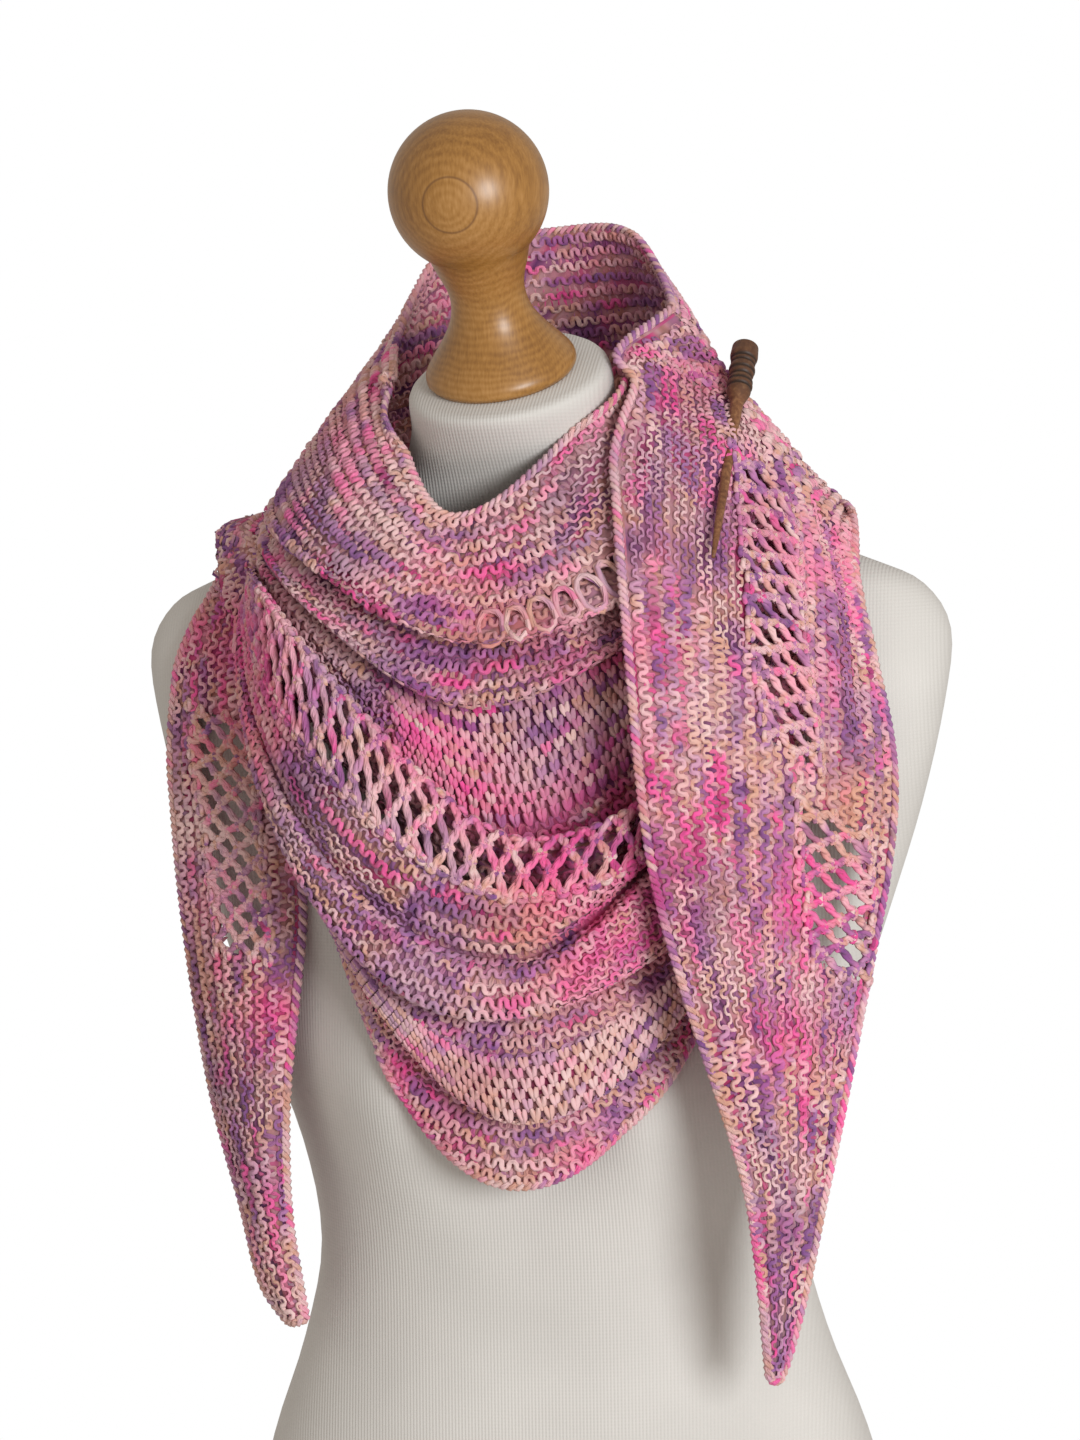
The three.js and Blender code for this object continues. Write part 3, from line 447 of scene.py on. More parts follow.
SECTION_Z = np.array([row["z"] for row in FORM_SECTIONS], float)
PROBE = 0.5
PUSHES = 8
LONGEST_PUSH = 12


def form_excess(p):
    """How far points lie outside the form, measured along its slope."""
    low = np.clip(np.searchsorted(SECTION_Z, p[..., 2], side="left") - 1, 0, len(SECTION_Z) - 2)
    span = SECTION_Z[low + 1] - SECTION_Z[low]
    at = low + np.clip((p[..., 2] - SECTION_Z[low]) / span, 0, 1.2)
    dy = p[..., 1] - column(FORM_SECTIONS, "centreY", at)
    front = column(FORM_SECTIONS, "front", at) + bust_rise(p[..., 0], p[..., 2])
    reach = np.where(dy < 0, front, column(FORM_SECTIONS, "back", at))
    square = column(FORM_SECTIONS, "square", at)
    wide = column(FORM_SECTIONS, "halfWidth", at)
    total = np.abs(p[..., 0] / wide) ** square + np.abs(dy / reach) ** square
    return np.maximum(total, 1e-9) ** (1 / square) - 1


def stand_off(point, gap, hug=0.0):
    """Moves points out until they clear the form by the gap; hug also draws far points in."""
    p = to_part(point)
    gap = np.broadcast_to(gap, p.shape[:-1])
    hug = np.broadcast_to(hug, p.shape[:-1])
    done = np.zeros(p.shape[:-1], bool)
    for _ in range(PUSHES):
        here = form_excess(p)
        slope = np.stack([form_excess(p + PROBE * np.eye(3)[k]) - here for k in range(3)], -1) / PROBE
        steep = np.maximum(np.linalg.norm(slope, axis=-1), 1e-4)
        missing = gap - here / steep
        done |= (missing <= 0) & (hug == 0)
        share = np.where(missing > 0, 1.0, hug)
        move = np.where(done, 0.0, np.clip(missing * share, -LONGEST_PUSH, LONGEST_PUSH))
        p = p + slope / steep[..., None] * move[..., None]
    return to_group(p)


print("a point inside the chest moves out to", stand_off(np.array([0.0, -60.0, 400.0]), 4).round(1))

# %% [markdown]
# ## The front hangs in swags
# Every course of the front hangs between its end points in the shape of a soft V, and the cloth
# beneath a tail lies deeper than the tail does: gaps to the form are kept for each layer.

# %% Front shape
UNDER_GAP = 4.2
SECOND_GAP = 8.2
THIRD_GAP = 12.2
NECK_EXTRA = 1.2
SOFT_V = 0.3
HOLLOW = {"left": 0.65, "right": 1.5}
LEFT_LAYERS = {"from": 0.42, "over": 0.3}
RIGHT_LAYERS = {"from": 0.7, "over": 0.2}


def slant(x):
    """How far Y shifts at an X to stay parallel to the form's front in the turned group."""
    return -x * math.tan(TURN)


def stack_gap(line, above, below):
    """One gap above the fold of the big swag and another one below it."""
    return mix(above, below, ease(line - COURSE_INDEX["swagFold"]))


def front_point(line, t):
    """Points of the front at courses and at shares t of the way from left to right."""
    line, t = np.broadcast_arrays(np.asarray(line, float), np.asarray(t, float))
    left = t < 0.5

    def at(key):
        return column(COURSES, key, line)

    def side(key):
        return np.where(left, at("left" + key), at("right" + key))

    rounded = np.where(left, at("roundL"), at("roundR"))
    bow = np.where(left, at("bowL"), at("bowR"))
    angle = np.abs(2 * t - 1) * math.pi / 2
    reach = np.sin(angle)
    soft = (np.hypot(reach, SOFT_V) - SOFT_V) / (math.hypot(1, SOFT_V) - SOFT_V)
    rise = mix(soft, 1 - np.cos(angle), rounded)
    x = mix(at("lowX"), side("X"), reach)
    z = mix(at("lowZ"), side("Z"), rise)
    forward = np.abs(np.cos(angle)) ** np.where(left, HOLLOW["left"], HOLLOW["right"])
    y = mix(side("Y"), at("lowY"), forward) - bow * np.sin(2 * angle) + slant(x)
    left_share = ease((LEFT_LAYERS["from"] - t) / LEFT_LAYERS["over"])
    right_share = ease((t - RIGHT_LAYERS["from"]) / RIGHT_LAYERS["over"])
    gap = (
        UNDER_GAP + NECK_EXTRA * (1 - ease(line / 2))
        + left_share * (stack_gap(line, THIRD_GAP, SECOND_GAP) - UNDER_GAP)
        + right_share * (stack_gap(line, SECOND_GAP, UNDER_GAP) - UNDER_GAP)
    )
    return stand_off(np.stack([x, y, z], -1), gap)


print("lowest point of the neck edge", front_point(0, 0.5).round(1))

# %% [markdown]
# ## The collar goes round the neck
# The courses leave the front at its left end and turn about the neck's axis, so the collar is
# worked out as an angle, a radius and a height.

# %% Collar shape
COLLAR_GAP = 14.5
COLLAR_RISE = 0.12


def collar_point(line, s):
    """Points of the collar at courses and at shares s of the way round the neck."""
    line, s = np.broadcast_arrays(np.asarray(line, float), np.asarray(s, float))
    start = front_point(line, np.zeros_like(line))
    keys = [COURSE_INDEX[row["at"]] for row in COLLAR_COURSES]
    at = np.interp(line, keys, range(len(keys)))
    dx, dy = start[..., 0] - COLLAR_AXIS[0], start[..., 1] - COLLAR_AXIS[1]
    start_angle = np.arctan2(dy, dx) % (2 * math.pi)
    along = np.interp(s, COLLAR_STOPS, range(len(COLLAR_STOPS)))
    places = ["left", "back", "turn", "right"]
    radii = np.stack([np.hypot(dx, dy)] + [column(COLLAR_COURSES, p + "R", at) for p in places])
    heights = np.stack([start[..., 2]] + [column(COLLAR_COURSES, p + "Z", at) for p in places])

    def pick(values):
        flat = values.reshape(len(values), -1)
        place = along.reshape(-1)
        k = np.clip(np.floor(place).astype(int), 0, len(values) - 2)
        t = place - k
        n = np.arange(flat.shape[1])
        p1, p2 = flat[k, n], flat[k + 1, n]
        p0, p3 = flat[np.maximum(k - 1, 0), n], flat[np.minimum(k + 2, len(values) - 1), n]
        return curve(p0, p1, p2, p3, t).reshape(along.shape)

    angle = mix(start_angle, COLLAR_END_ANGLE, s)
    radius = pick(radii)
    p = np.stack([
        COLLAR_AXIS[0] + radius * np.cos(angle),
        COLLAR_AXIS[1] + radius * np.sin(angle),
        pick(heights),
    ], -1)
    gap = mix(stack_gap(line, THIRD_GAP, SECOND_GAP), COLLAR_GAP, ease(s / COLLAR_RISE))
    return stand_off(p, gap)


print("the collar ends at", collar_point(0, 1).round(1))

# %% [markdown]
# ## Tails and back as ribbons
# A ribbon's cross-section is a smooth bow through its edge, middle and hem. The right tail starts
# at the collar's end, and the back goes from under the right tail to the left tail.

# %% Ribbon shapes
LEFT_EXTRA = 0.9
LEFT_HUG = 0.25
BACK_GAP = 7.2
BACK_SETTLE = 0.2
HIDDEN_START = 0.6


def ribbon_point(stations, across, s):
    at = s * (len(stations) - 1)
    u = across / LAST_COURSE
    edge, middle, hem = (1 - u) * (1 - 2 * u), 4 * u * (1 - u), u * (2 * u - 1)

    def blend(axis):
        return (
            edge * column(stations, "edge" + axis, at)
            + middle * column(stations, "mid" + axis, at)
            + hem * column(stations, "hem" + axis, at)
        )

    x = blend("X")
    return np.stack([x, blend("Y") + slant(x), blend("Z")], -1)


def right_tail_point(across, s):
    first = 1 / len(RIGHT_TAIL)
    start = collar_point(across, np.ones_like(across))
    lead = np.clip(s / first, 0, 1)[..., None]
    begin = mix(start, ribbon_point(RIGHT_TAIL, across, np.zeros_like(s)), lead)
    rest = ribbon_point(RIGHT_TAIL, across, np.clip((s - first) / (1 - first), 0, 1))
    return np.where((s < first)[..., None], begin, rest)


def left_tail_point(across, s):
    return stand_off(ribbon_point(LEFT_TAIL, across, s), UNDER_GAP + LEFT_EXTRA, ease(1 - s / LEFT_HUG))


def back_wrap_point(across, s):
    stations = len(BACK_WRAP) + 1
    at = mix(HIDDEN_START, stations, s)
    start = front_point(across * FOLD_SHARE, np.ones_like(across))
    end = left_tail_point(across, np.zeros_like(across))
    first = ribbon_point(BACK_WRAP, across, np.zeros_like(s))
    last = ribbon_point(BACK_WRAP, across, np.ones_like(s))
    middle = ribbon_point(BACK_WRAP, across, np.clip((at - 1) / (len(BACK_WRAP) - 1), 0, 1))
    p = np.where((at < 1)[..., None], mix(start, first, at[..., None]), middle)
    p = np.where((at > stations - 1)[..., None], mix(last, end, (at - stations + 1)[..., None]), p)
    gap = mix(SECOND_GAP, BACK_GAP, ease(s / BACK_SETTLE))
    return stand_off(p, gap, ease(s / BACK_SETTLE))


print("the left tail ends at", left_tail_point(np.array(0.0), np.array(1.0)).round(1))

# %% [markdown]
# ## The right tail lies over the front
# The tail can't sink into the swags beneath it, so each of its points is pushed forward to clear
# them, and its neighbours follow part of the way, as a stiff cloth does.

# %% Laying the tail over the front
LAYER_GAP = 1.4
COVER_CELL = 4
COVER_CELLS = 260
COVER_BLUR = 1.6 * COVER_CELL
COVER_PASSES = 6
LEAST_COVER = 0.2
NO_CLOTH = 1e3


def cover_of(points):
    """The front's foremost Y on a grid over X and Z, spread by one cell and smoothed."""
    field = np.full((COVER_CELLS, COVER_CELLS), NO_CLOTH)
    i = np.round(points[..., 0].ravel() / COVER_CELL).astype(int) + COVER_CELLS // 2
    k = np.round(points[..., 2].ravel() / COVER_CELL).astype(int)
    np.minimum.at(field, (i, k), points[..., 1].ravel())
    spread = field.copy()
    for u in (-1, 0, 1):
        for v in (-1, 0, 1):
            spread = np.minimum(spread, np.roll(np.roll(field, u, 0), v, 1))

    def cover(x, z):
        total = np.zeros(x.shape)
        weight = np.zeros(x.shape)
        for u in range(-2, 3):
            for v in range(-2, 3):
                i = np.round(x / COVER_CELL).astype(int) + u
                k = np.round(z / COVER_CELL).astype(int) + v
                w = bell(i * COVER_CELL - x, COVER_BLUR) * bell(k * COVER_CELL - z, COVER_BLUR)
                value = spread[i + COVER_CELLS // 2, k]
                w = np.where(value < NO_CLOTH, w, 0)
                total += w * np.where(value < NO_CLOTH, value, 0)
                weight += w
        return np.where(weight > LEAST_COVER, total / np.maximum(weight, 1e-6), NO_CLOTH)

    return cover


def lay_over(p, cover):
    """Points moved forward to clear the cover by a wall and a gap, and their neighbours after them."""
    needed = np.maximum(0, p[..., 1] - cover(p[..., 0], p[..., 2]) + WALL + LAYER_GAP)
    push = needed
    for _ in range(COVER_PASSES):
        edge = np.pad(push, 1)
        count = np.pad(np.ones_like(push), 1)
        near = edge[:-2, 1:-1] + edge[2:, 1:-1] + edge[1:-1, :-2] + edge[1:-1, 2:]
        number = count[:-2, 1:-1] + count[2:, 1:-1] + count[1:-1, :-2] + count[1:-1, 2:]
        push = np.maximum(needed, near / number)
    p = p.copy()
    p[..., 1] -= push
    return p


print("the cover reaches", COVER_CELLS // 2 * COVER_CELL, "mm to either side")

# %% [markdown]
# ## Surfaces of the five stretches
# Each stretch of cloth becomes a dense grid of points with its outward normals. Rows of the grid
# are courses, and columns run along the knitting.

# %% Surface grids
SEAM = 0.35


class Surface:
    """A grid of outer points in millimetres, in the part's frame, with outward normals."""

    def __init__(self, name, group_points, outward):
        self.name = name
        self.points = to_part(group_points)
        along = np.gradient(self.points, axis=1)
        down = np.gradient(self.points, axis=0)
        normal = np.cross(along, down) * outward
        self.normals = normal / np.maximum(np.linalg.norm(normal, axis=-1, keepdims=True), 1e-9)
        self.rows, self.columns = self.points.shape[:2]

    def row(self, line):
        """The course at a line value: its points and normals."""
        at = line / LAST_COURSE * (self.rows - 1)
        k = int(min(self.rows - 2, max(0, math.floor(at))))
        t = at - k
        p = self.points[k] * (1 - t) + self.points[k + 1] * t
        n = self.normals[k] * (1 - t) + self.normals[k + 1] * t
        return p, n / np.maximum(np.linalg.norm(n, axis=-1, keepdims=True), 1e-9)


def grid(rows, columns):
    """Courses and shares along the knitting at the points of an even grid."""
    return np.meshgrid(np.linspace(0, LAST_COURSE, rows), np.linspace(0, 1, columns), indexing="ij")


def upsample(p, rows, columns):
    """A coarse grid of points as a dense one, by smooth curves both ways."""
    p = through(p, np.linspace(0, len(p) - 1, rows))
    return through(p.transpose(1, 0, 2), np.linspace(0, p.shape[1] - 1, columns)).transpose(1, 0, 2)


print("neighbouring stretches stay", SEAM, "mm apart at a seam")

# %% [markdown]
# The right tail takes the most care. It is laid over the front, lifted in a pinch where the stick
# holds it, and bent into a soft fold with two crests. The end of the collar then bends to meet it.

# %% Surfaces
# Points across and along each dense grid, and along the coarse grid that it may start from.
RIBBON_ROWS = 8
FRONT_GRID = (301, 241)
COLLAR_GRID = (201, 161)
RIGHT_GRID = (161, 321)
LEFT_GRID = (121, 241)
BACK_GRID = (121, 181)
RIGHT_COARSE = (RIBBON_ROWS + 1, 31)
LEFT_COARSE = (RIBBON_ROWS + 1, 25)
BACK_COARSE = (RIBBON_ROWS + 1, 19)
# Shares of the tail's length: how far it lies on two layers, and over what it comes down to one.
SHOULDER = {"to": 0.08, "over": 0.16}
PINCH = {"x": 92, "z": 589, "wide": 17, "tall": 18, "rise": 15}
# The fold: where along the tail it starts and ends, and each crest's place across, width and rise.
FOLD = {"from": 0.2, "grows": 0.08, "to": 0.5, "fades": 0.14}
CRESTS = table("at wide rise", [[0.5, 0.16, 6.0], [0.88, 0.08, 4.5]])
# From this share of its length on, the collar bends to meet the tail that was laid over the front.
JOIN_FROM = 0.84


def seamed(p, start):
    """A ribbon that starts a little later, so that it doesn't touch its neighbour."""
    p = p.copy()
    step = p[:, 1] - p[:, 0]
    p[:, 0] += step / np.linalg.norm(step, axis=-1, keepdims=True) * start
    return p


def make_right_tail(front):
    line, s = grid(*RIGHT_COARSE)
    on_shoulder = ease(1 - (s - SHOULDER["to"]) / SHOULDER["over"])
    p = stand_off(right_tail_point(line, s), mix(UNDER_GAP, THIRD_GAP, on_shoulder))
    p = upsample(lay_over(seamed(p, SEAM), cover_of(front)), *RIGHT_GRID)
    lift = bell(p[..., 0] - PINCH["x"], PINCH["wide"]) * bell(p[..., 2] - PINCH["z"], PINCH["tall"])
    p[..., 1] -= PINCH["rise"] * lift
    u, v = np.linspace(0, 1, RIGHT_GRID[0])[:, None], np.linspace(0, 1, RIGHT_GRID[1])[None, :]
    folded = ease((v - FOLD["from"]) / FOLD["grows"]) * (1 - ease((v - FOLD["to"]) / FOLD["fades"]))
    p[..., 1] -= folded * sum(c["rise"] * bell(u - c["at"], c["wide"]) for c in CRESTS)
    return p


def make_collar(right):
    line, s = grid(*COLLAR_GRID)
    p = collar_point(line, s)
    step = through(right[:, 0], np.linspace(0, len(right) - 1, len(p))) - p[:, -1]
    print("the collar's end moves", round(float(np.linalg.norm(step, axis=-1).max()), 1), "mm to the tail")
    return p + ease((s - JOIN_FROM) / (1 - JOIN_FROM))[..., None] * step[:, None]


def make_surfaces():
    front = front_point(*grid(*FRONT_GRID))
    right = make_right_tail(front)
    collar = make_collar(right)
    left = upsample(left_tail_point(*grid(*LEFT_COARSE)), *LEFT_GRID)
    back = upsample(back_wrap_point(*grid(*BACK_COARSE)), *BACK_GRID)
    return {
        "front_drape": Surface("front_drape", front, -1),
        "collar_wrap": Surface("collar_wrap", collar, 1),
        "back_wrap": Surface("back_wrap", back, -1),
        "right_tail": Surface("right_tail", right, 1),
        "left_tail": Surface("left_tail", left, -1),
    }


surfaces = make_surfaces()
for surface in surfaces.values():
    low, high = surface.points.reshape(-1, 3).min(0), surface.points.reshape(-1, 3).max(0)
    print(surface.name, "reaches", low.round(), high.round())

# %% [markdown]
# ## Dress form
# The form is a padded torso under a white cotton jersey cover. Circles of points are set to the
# form's sections and bridged, so the skin is one closed mesh, smooth and without a seam.

# %% Form
FORM_SIDES = 96
RINGS_PER_SECTION = 4


def form_ring(at):
    """Points round the form at a place between its sections, in millimetres."""
    s = {key: column(FORM_SECTIONS, key, at) for key in FORM_SECTIONS[0] if key != "name"}
    angle = np.arange(FORM_SIDES) / FORM_SIDES * 2 * math.pi
    power = 2 / s["square"]
    slope = math.tan(math.radians(s["tilt"]))
    x = s["halfWidth"] * np.sign(np.cos(angle)) * np.abs(np.cos(angle)) ** power
    side = np.sign(np.sin(angle)) * np.abs(np.sin(angle)) ** power
    deep = side * np.where(side < 0, s["front"], s["back"])
    swell = np.where(side < 0, bust_rise(x, s["z"]) * np.abs(side), 0)
    return np.stack([x, s["centreY"] + deep - swell, s["z"] + (deep + x * SIDE_SHARE) * slope], -1)


def finished(bm, name, finish):
    """The bmesh as an object that rides on the part, smooth, with its normals outward."""
    bmesh.ops.recalc_face_normals(bm, faces=bm.faces)
    for face in bm.faces:
        face.smooth = True
    mesh = bpy.data.meshes.new(name)
    bm.to_mesh(mesh)
    bm.free()
    mesh.materials.append(finish)
    piece = bpy.data.objects.new(name, mesh)
    bpy.context.scene.collection.objects.link(piece)
    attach(piece, "root")
    print(name, "has", sum(len(f.vertices) - 2 for f in mesh.polygons), "triangles")
    return piece


# %% [markdown]
# Cotton jersey is knitted as a tube and washed, so it is matt, with a trace of warmth. The eye
# reads it by fine upright lines of stitches, 1.6 mm apart, and by very soft clouds of shade.

# %% Jersey
WALE = 1.6
CLOUDS_PER_METRE = 14
GRAINS_PER_METRE = 1400


def jersey_material():
    m, tree, shader = material("cotton_jersey_knitted_and_washed", Roughness=0.9,
                               Specular_IOR_Level=0.2, Sheen_Weight=0.1)
    place = add(tree, "TexCoord").outputs["Object"]
    split = add(tree, "SeparateXYZ", [place])
    turn = 2 * math.pi / (WALE * MM)
    wales = add(tree, "Math", [split.outputs[0], turn], operation="MULTIPLY")
    wales = add(tree, "Math", [wales], operation="SINE")
    courses = add(tree, "Math", [split.outputs[2], turn], operation="MULTIPLY")
    courses = add(tree, "Math", [courses], operation="SINE")
    clouds = add(tree, "TexNoise", {"Vector": place, "Scale": CLOUDS_PER_METRE, "Detail": 3})
    grain = add(tree, "TexNoise", {"Vector": place, "Scale": GRAINS_PER_METRE})
    cloth = add(tree, "ValToRGB", [clouds], stops=[(0.3, "cecbc6"), (0.7, "d9d6d1")])
    shade = add(tree, "Math", [wales, 0.05, 0.05], operation="MULTIPLY_ADD")
    cloth = add(tree, "Mix", {SHARE: shade, ONE: cloth, TWO: linear("b9b5ae")}, data_type="RGBA")
    height = add(tree, "Math", [courses, 0.35, wales], operation="MULTIPLY_ADD")
    height = add(tree, "Math", [grain, 0.8, height], operation="MULTIPLY_ADD")
    relief = add(tree, "Bump", {"Height": height, "Distance": 0.00012, "Strength": 0.6})
    join(tree, shader, {"Base Color": cloth.outputs[MIXED], "Normal": relief})
    return m


def make_form():
    bm = bmesh.new()
    count = (len(FORM_SECTIONS) - 1) * RINGS_PER_SECTION
    before = None
    for k in range(count + 1):
        capped = k in (0, count)
        made = bmesh.ops.create_circle(bm, segments=FORM_SIDES, radius=1.0, cap_ends=capped)
        verts = made["verts"]
        angle = [math.atan2(v.co.y, v.co.x) % (2 * math.pi) for v in verts]
        for number, place in zip(np.argsort(angle), form_ring(k / RINGS_PER_SECTION) * MM):
            verts[number].co = place
        own = set(verts)
        edges = [e for e in bm.edges if e.verts[0] in own and e.verts[1] in own]
        if before is not None:
            bmesh.ops.bridge_loops(bm, edges=before + edges)
        before = edges
    return finished(bm, "form_skin", jersey_material())


form_skin = make_form()
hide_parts("dress_form")

# %% [markdown]
# ## Neck finial
# The finial is turned on a lathe from pale hardwood: a foot, a waist and a ball, made here by
# spinning one outline. Its axis leans with the form's neck.

# %% Finial
LEAN = math.radians(25)
FACING = {"right": -0.24, "up": -0.33}
FINIAL_SHIFT = -3
FINIAL_FOOT = table(
    "h r",
    [[0, 33.5], [2, 35], [6, 34.6], [12, 30.5], [20, 24.5], [29, 19.4], [38, 17.4], [46, 18.2], [54, 21]],
)
BALL = {"height": 90, "radius": 36.5, "start": 23.5}


def finial_frame():
    """The foot of the finial's axis and its direction."""
    crown = FORM_SECTIONS[-1]
    slope = math.tan(LEAN)
    axis = Vector((-slope * SIDE_SHARE, -slope, 1)).normalized()
    foot = Vector((FINIAL_SHIFT, crown["centreY"], crown["z"] + FINIAL_SHIFT * slope * SIDE_SHARE))
    return foot + axis * SEAM, axis


def spin(outline, segments):
    """A bmesh turned from an outline of (radius, height) in millimetres about the Z axis."""
    bm = bmesh.new()
    verts = [bm.verts.new((r * MM, 0, h * MM)) for r, h in outline]
    edges = [bm.edges.new(pair) for pair in zip(verts[:-1], verts[1:])]
    bmesh.ops.spin(bm, geom=verts + edges, axis=(0, 0, 1), cent=(0, 0, 0), angle=2 * math.pi,
                   steps=segments, use_merge=True)
    bmesh.ops.remove_doubles(bm, verts=bm.verts, dist=1e-6)
    return bm


def finial_outline():
    h = np.array([row["h"] for row in FINIAL_FOOT], float)
    r = np.array([row["r"] for row in FINIAL_FOOT], float)
    at = np.linspace(1, len(h) - 1, 40)
    foot = np.stack([through(r, at), through(h, at)], -1)
    start = math.pi - math.asin(BALL["start"] / BALL["radius"])
    angle = np.linspace(start, 0, 48)
    ball = np.stack([np.sin(angle), np.cos(angle)], -1) * BALL["radius"] + [0, BALL["height"]]
    ball[-1, 0] = 0
    return np.concatenate([[[0, h[0]], [r[0], h[0]]], foot, ball])


print("the finial is", BALL["height"] + BALL["radius"], "mm long along its axis")

# %% [markdown]
# Beech is pale, close-grained and often stained a honey brown, and varnish leaves a soft
# highlight over the grain. The grain of this ball runs towards the viewer, so the growth rings
# show as faint circles round a plug that covers the screw. Real rings are about 1 mm apart and
# would be too fine to see here, so they are drawn coarser, 3.4 mm apart.

# %% Varnished beech
PLUG_RADIUS = 12.5
RING_PITCH = 3.4
WARPS_PER_METRE = 26
PORES_PER_METRE = (900.0, 900.0, 160.0)
BEECH = [(0.1, "84571f"), (0.5, "a07031"), (0.9, "b48449")]


def beech_material(pith, grain):
    m, tree, shader = material("beech_turned_and_varnished", Roughness=0.42, Coat_Weight=0.35,
                               Coat_Roughness=0.28)
    place = add(tree, "TexCoord").outputs["Object"]
    local = add(tree, "VectorMath", [place, tuple(pith)], operation="SUBTRACT")
    across = add(tree, "VectorMath", [local, tuple(grain)], operation="CROSS_PRODUCT")
    away = add(tree, "VectorMath", [across], operation="LENGTH").outputs["Value"]
    depth = add(tree, "VectorMath", [local, tuple(grain)], operation="DOT_PRODUCT").outputs["Value"]
    warp = add(tree, "TexNoise", {"Vector": place, "Scale": WARPS_PER_METRE, "Detail": 2.5})
    bent = add(tree, "Math", [warp, 0.016, away], operation="MULTIPLY_ADD")
    rings = add(tree, "Math", [bent, 2 * math.pi / (RING_PITCH * MM)], operation="MULTIPLY")
    rings = add(tree, "Math", [rings], operation="SINE")
    drawn_out = add(tree, "VectorMath", [place, PORES_PER_METRE], operation="MULTIPLY")
    pores = add(tree, "TexNoise", {"Vector": drawn_out, "Scale": 1, "Detail": 3})
    fine = add(tree, "MapRange", {"Value": pores, "From Min": 0.3, "From Max": 0.7})
    cloud = add(tree, "MapRange", {"Value": warp, "From Min": 0.3, "From Max": 0.7})
    tone = 0.12
    for field, share in ((rings, 0.10), (fine, 0.36), (cloud, 0.38)):
        tone = add(tree, "Math", [field, share, tone], operation="MULTIPLY_ADD")
    wood = add(tree, "ValToRGB", [tone], stops=BEECH)
    off = add(tree, "Math", [away, PLUG_RADIUS * MM], operation="SUBTRACT")
    off = add(tree, "Math", [off], operation="ABSOLUTE")
    rim = add(tree, "MapRange", {"Value": off, "From Min": 0.0008, "From Max": 0.0001})
    faced = add(tree, "MapRange", {"Value": depth, "From Min": 0.0, "From Max": 0.01})
    rim = add(tree, "Math", [rim, faced], operation="MULTIPLY")
    rim = add(tree, "Math", [rim, 0.6], operation="MULTIPLY")
    wood = add(tree, "Mix", {SHARE: rim, ONE: wood, TWO: linear("5c3718")}, data_type="RGBA")
    relief = add(tree, "Bump", {"Height": pores, "Distance": 0.00006, "Strength": 0.5})
    join(tree, shader, {"Base Color": wood.outputs[MIXED], "Normal": relief})
    return m


def make_finial():
    foot, axis = finial_frame()
    bm = spin(finial_outline(), 96)
    turn = Vector((0, 0, 1)).rotation_difference(axis).to_matrix().to_4x4()
    bmesh.ops.transform(bm, matrix=Matrix.Translation(foot * MM) @ turn, verts=bm.verts)
    ball = (foot + axis * BALL["height"]) * MM
    right, up, forward = camera_axes()
    towards = -forward + right * FACING["right"] + up * FACING["up"]
    towards = Vector(towards.tolist()).normalized()
    return finished(bm, "finial_turning", beech_material(ball, towards))


finial_turning = make_finial()
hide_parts("neck_finial")

# %% [markdown]
# ## Shawl stick
# The stick that pins the tail is turned too: a plain tapering shaft, a swelling, and a head with
# grooves that a wire has burnt. It is spun as the finial is, with more points at the grooves.

# %% Stick
STICK_POINT = Vector((78, -124, 535))
STICK_HEAD = Vector((101, -28, 632))
STICK_PROFILE = table(
    "along r",
    [
        [0, 0.7], [0.08, 1.6], [0.3, 2.2], [0.62, 2.6], [0.71, 3.2], [0.76, 5.6], [0.8, 6.3],
        [0.83, 5.2], [0.86, 6.4], [0.89, 5.6], [0.93, 6.6], [0.975, 6.2],
    ],
)
GROOVES = [0.775, 0.8, 0.83, 0.855, 0.89, 0.91]
GROOVE_WIDE = 0.0055
GROOVE_DEEP = 0.55


def stick_outline(length):
    at = np.concatenate([np.linspace(0, 0.7, 30), np.linspace(0.705, 0.985, 120)])
    r = np.interp(at, [row["along"] for row in STICK_PROFILE], [row["r"] for row in STICK_PROFILE])
    r = np.convolve(np.pad(r, 2, mode="edge"), np.ones(5) / 5, "valid")
    for groove in GROOVES:
        r -= GROOVE_DEEP * bell(at - groove, GROOVE_WIDE)
    r[-6:] *= np.sqrt(np.linspace(1, 0.25, 6))
    points = np.stack([r, at * length], -1)
    return np.concatenate([[[0, 0]], points, [[0, length]]])


print("the stick is", round((STICK_HEAD - STICK_POINT).length, 1), "mm long")

# %% [markdown]
# Walnut is a dark, streaky brown, and oil leaves it almost matt. The burnt grooves are nearly
# black, which is what draws the eye to the head of the stick.

# %% Oiled walnut
STREAKS_PER_METRE = 420
HEAD_FROM = (0.68, 0.76)
WALNUT = [(0.3, "5f3820"), (0.52, "7f5233"), (0.7, "a0724a")]


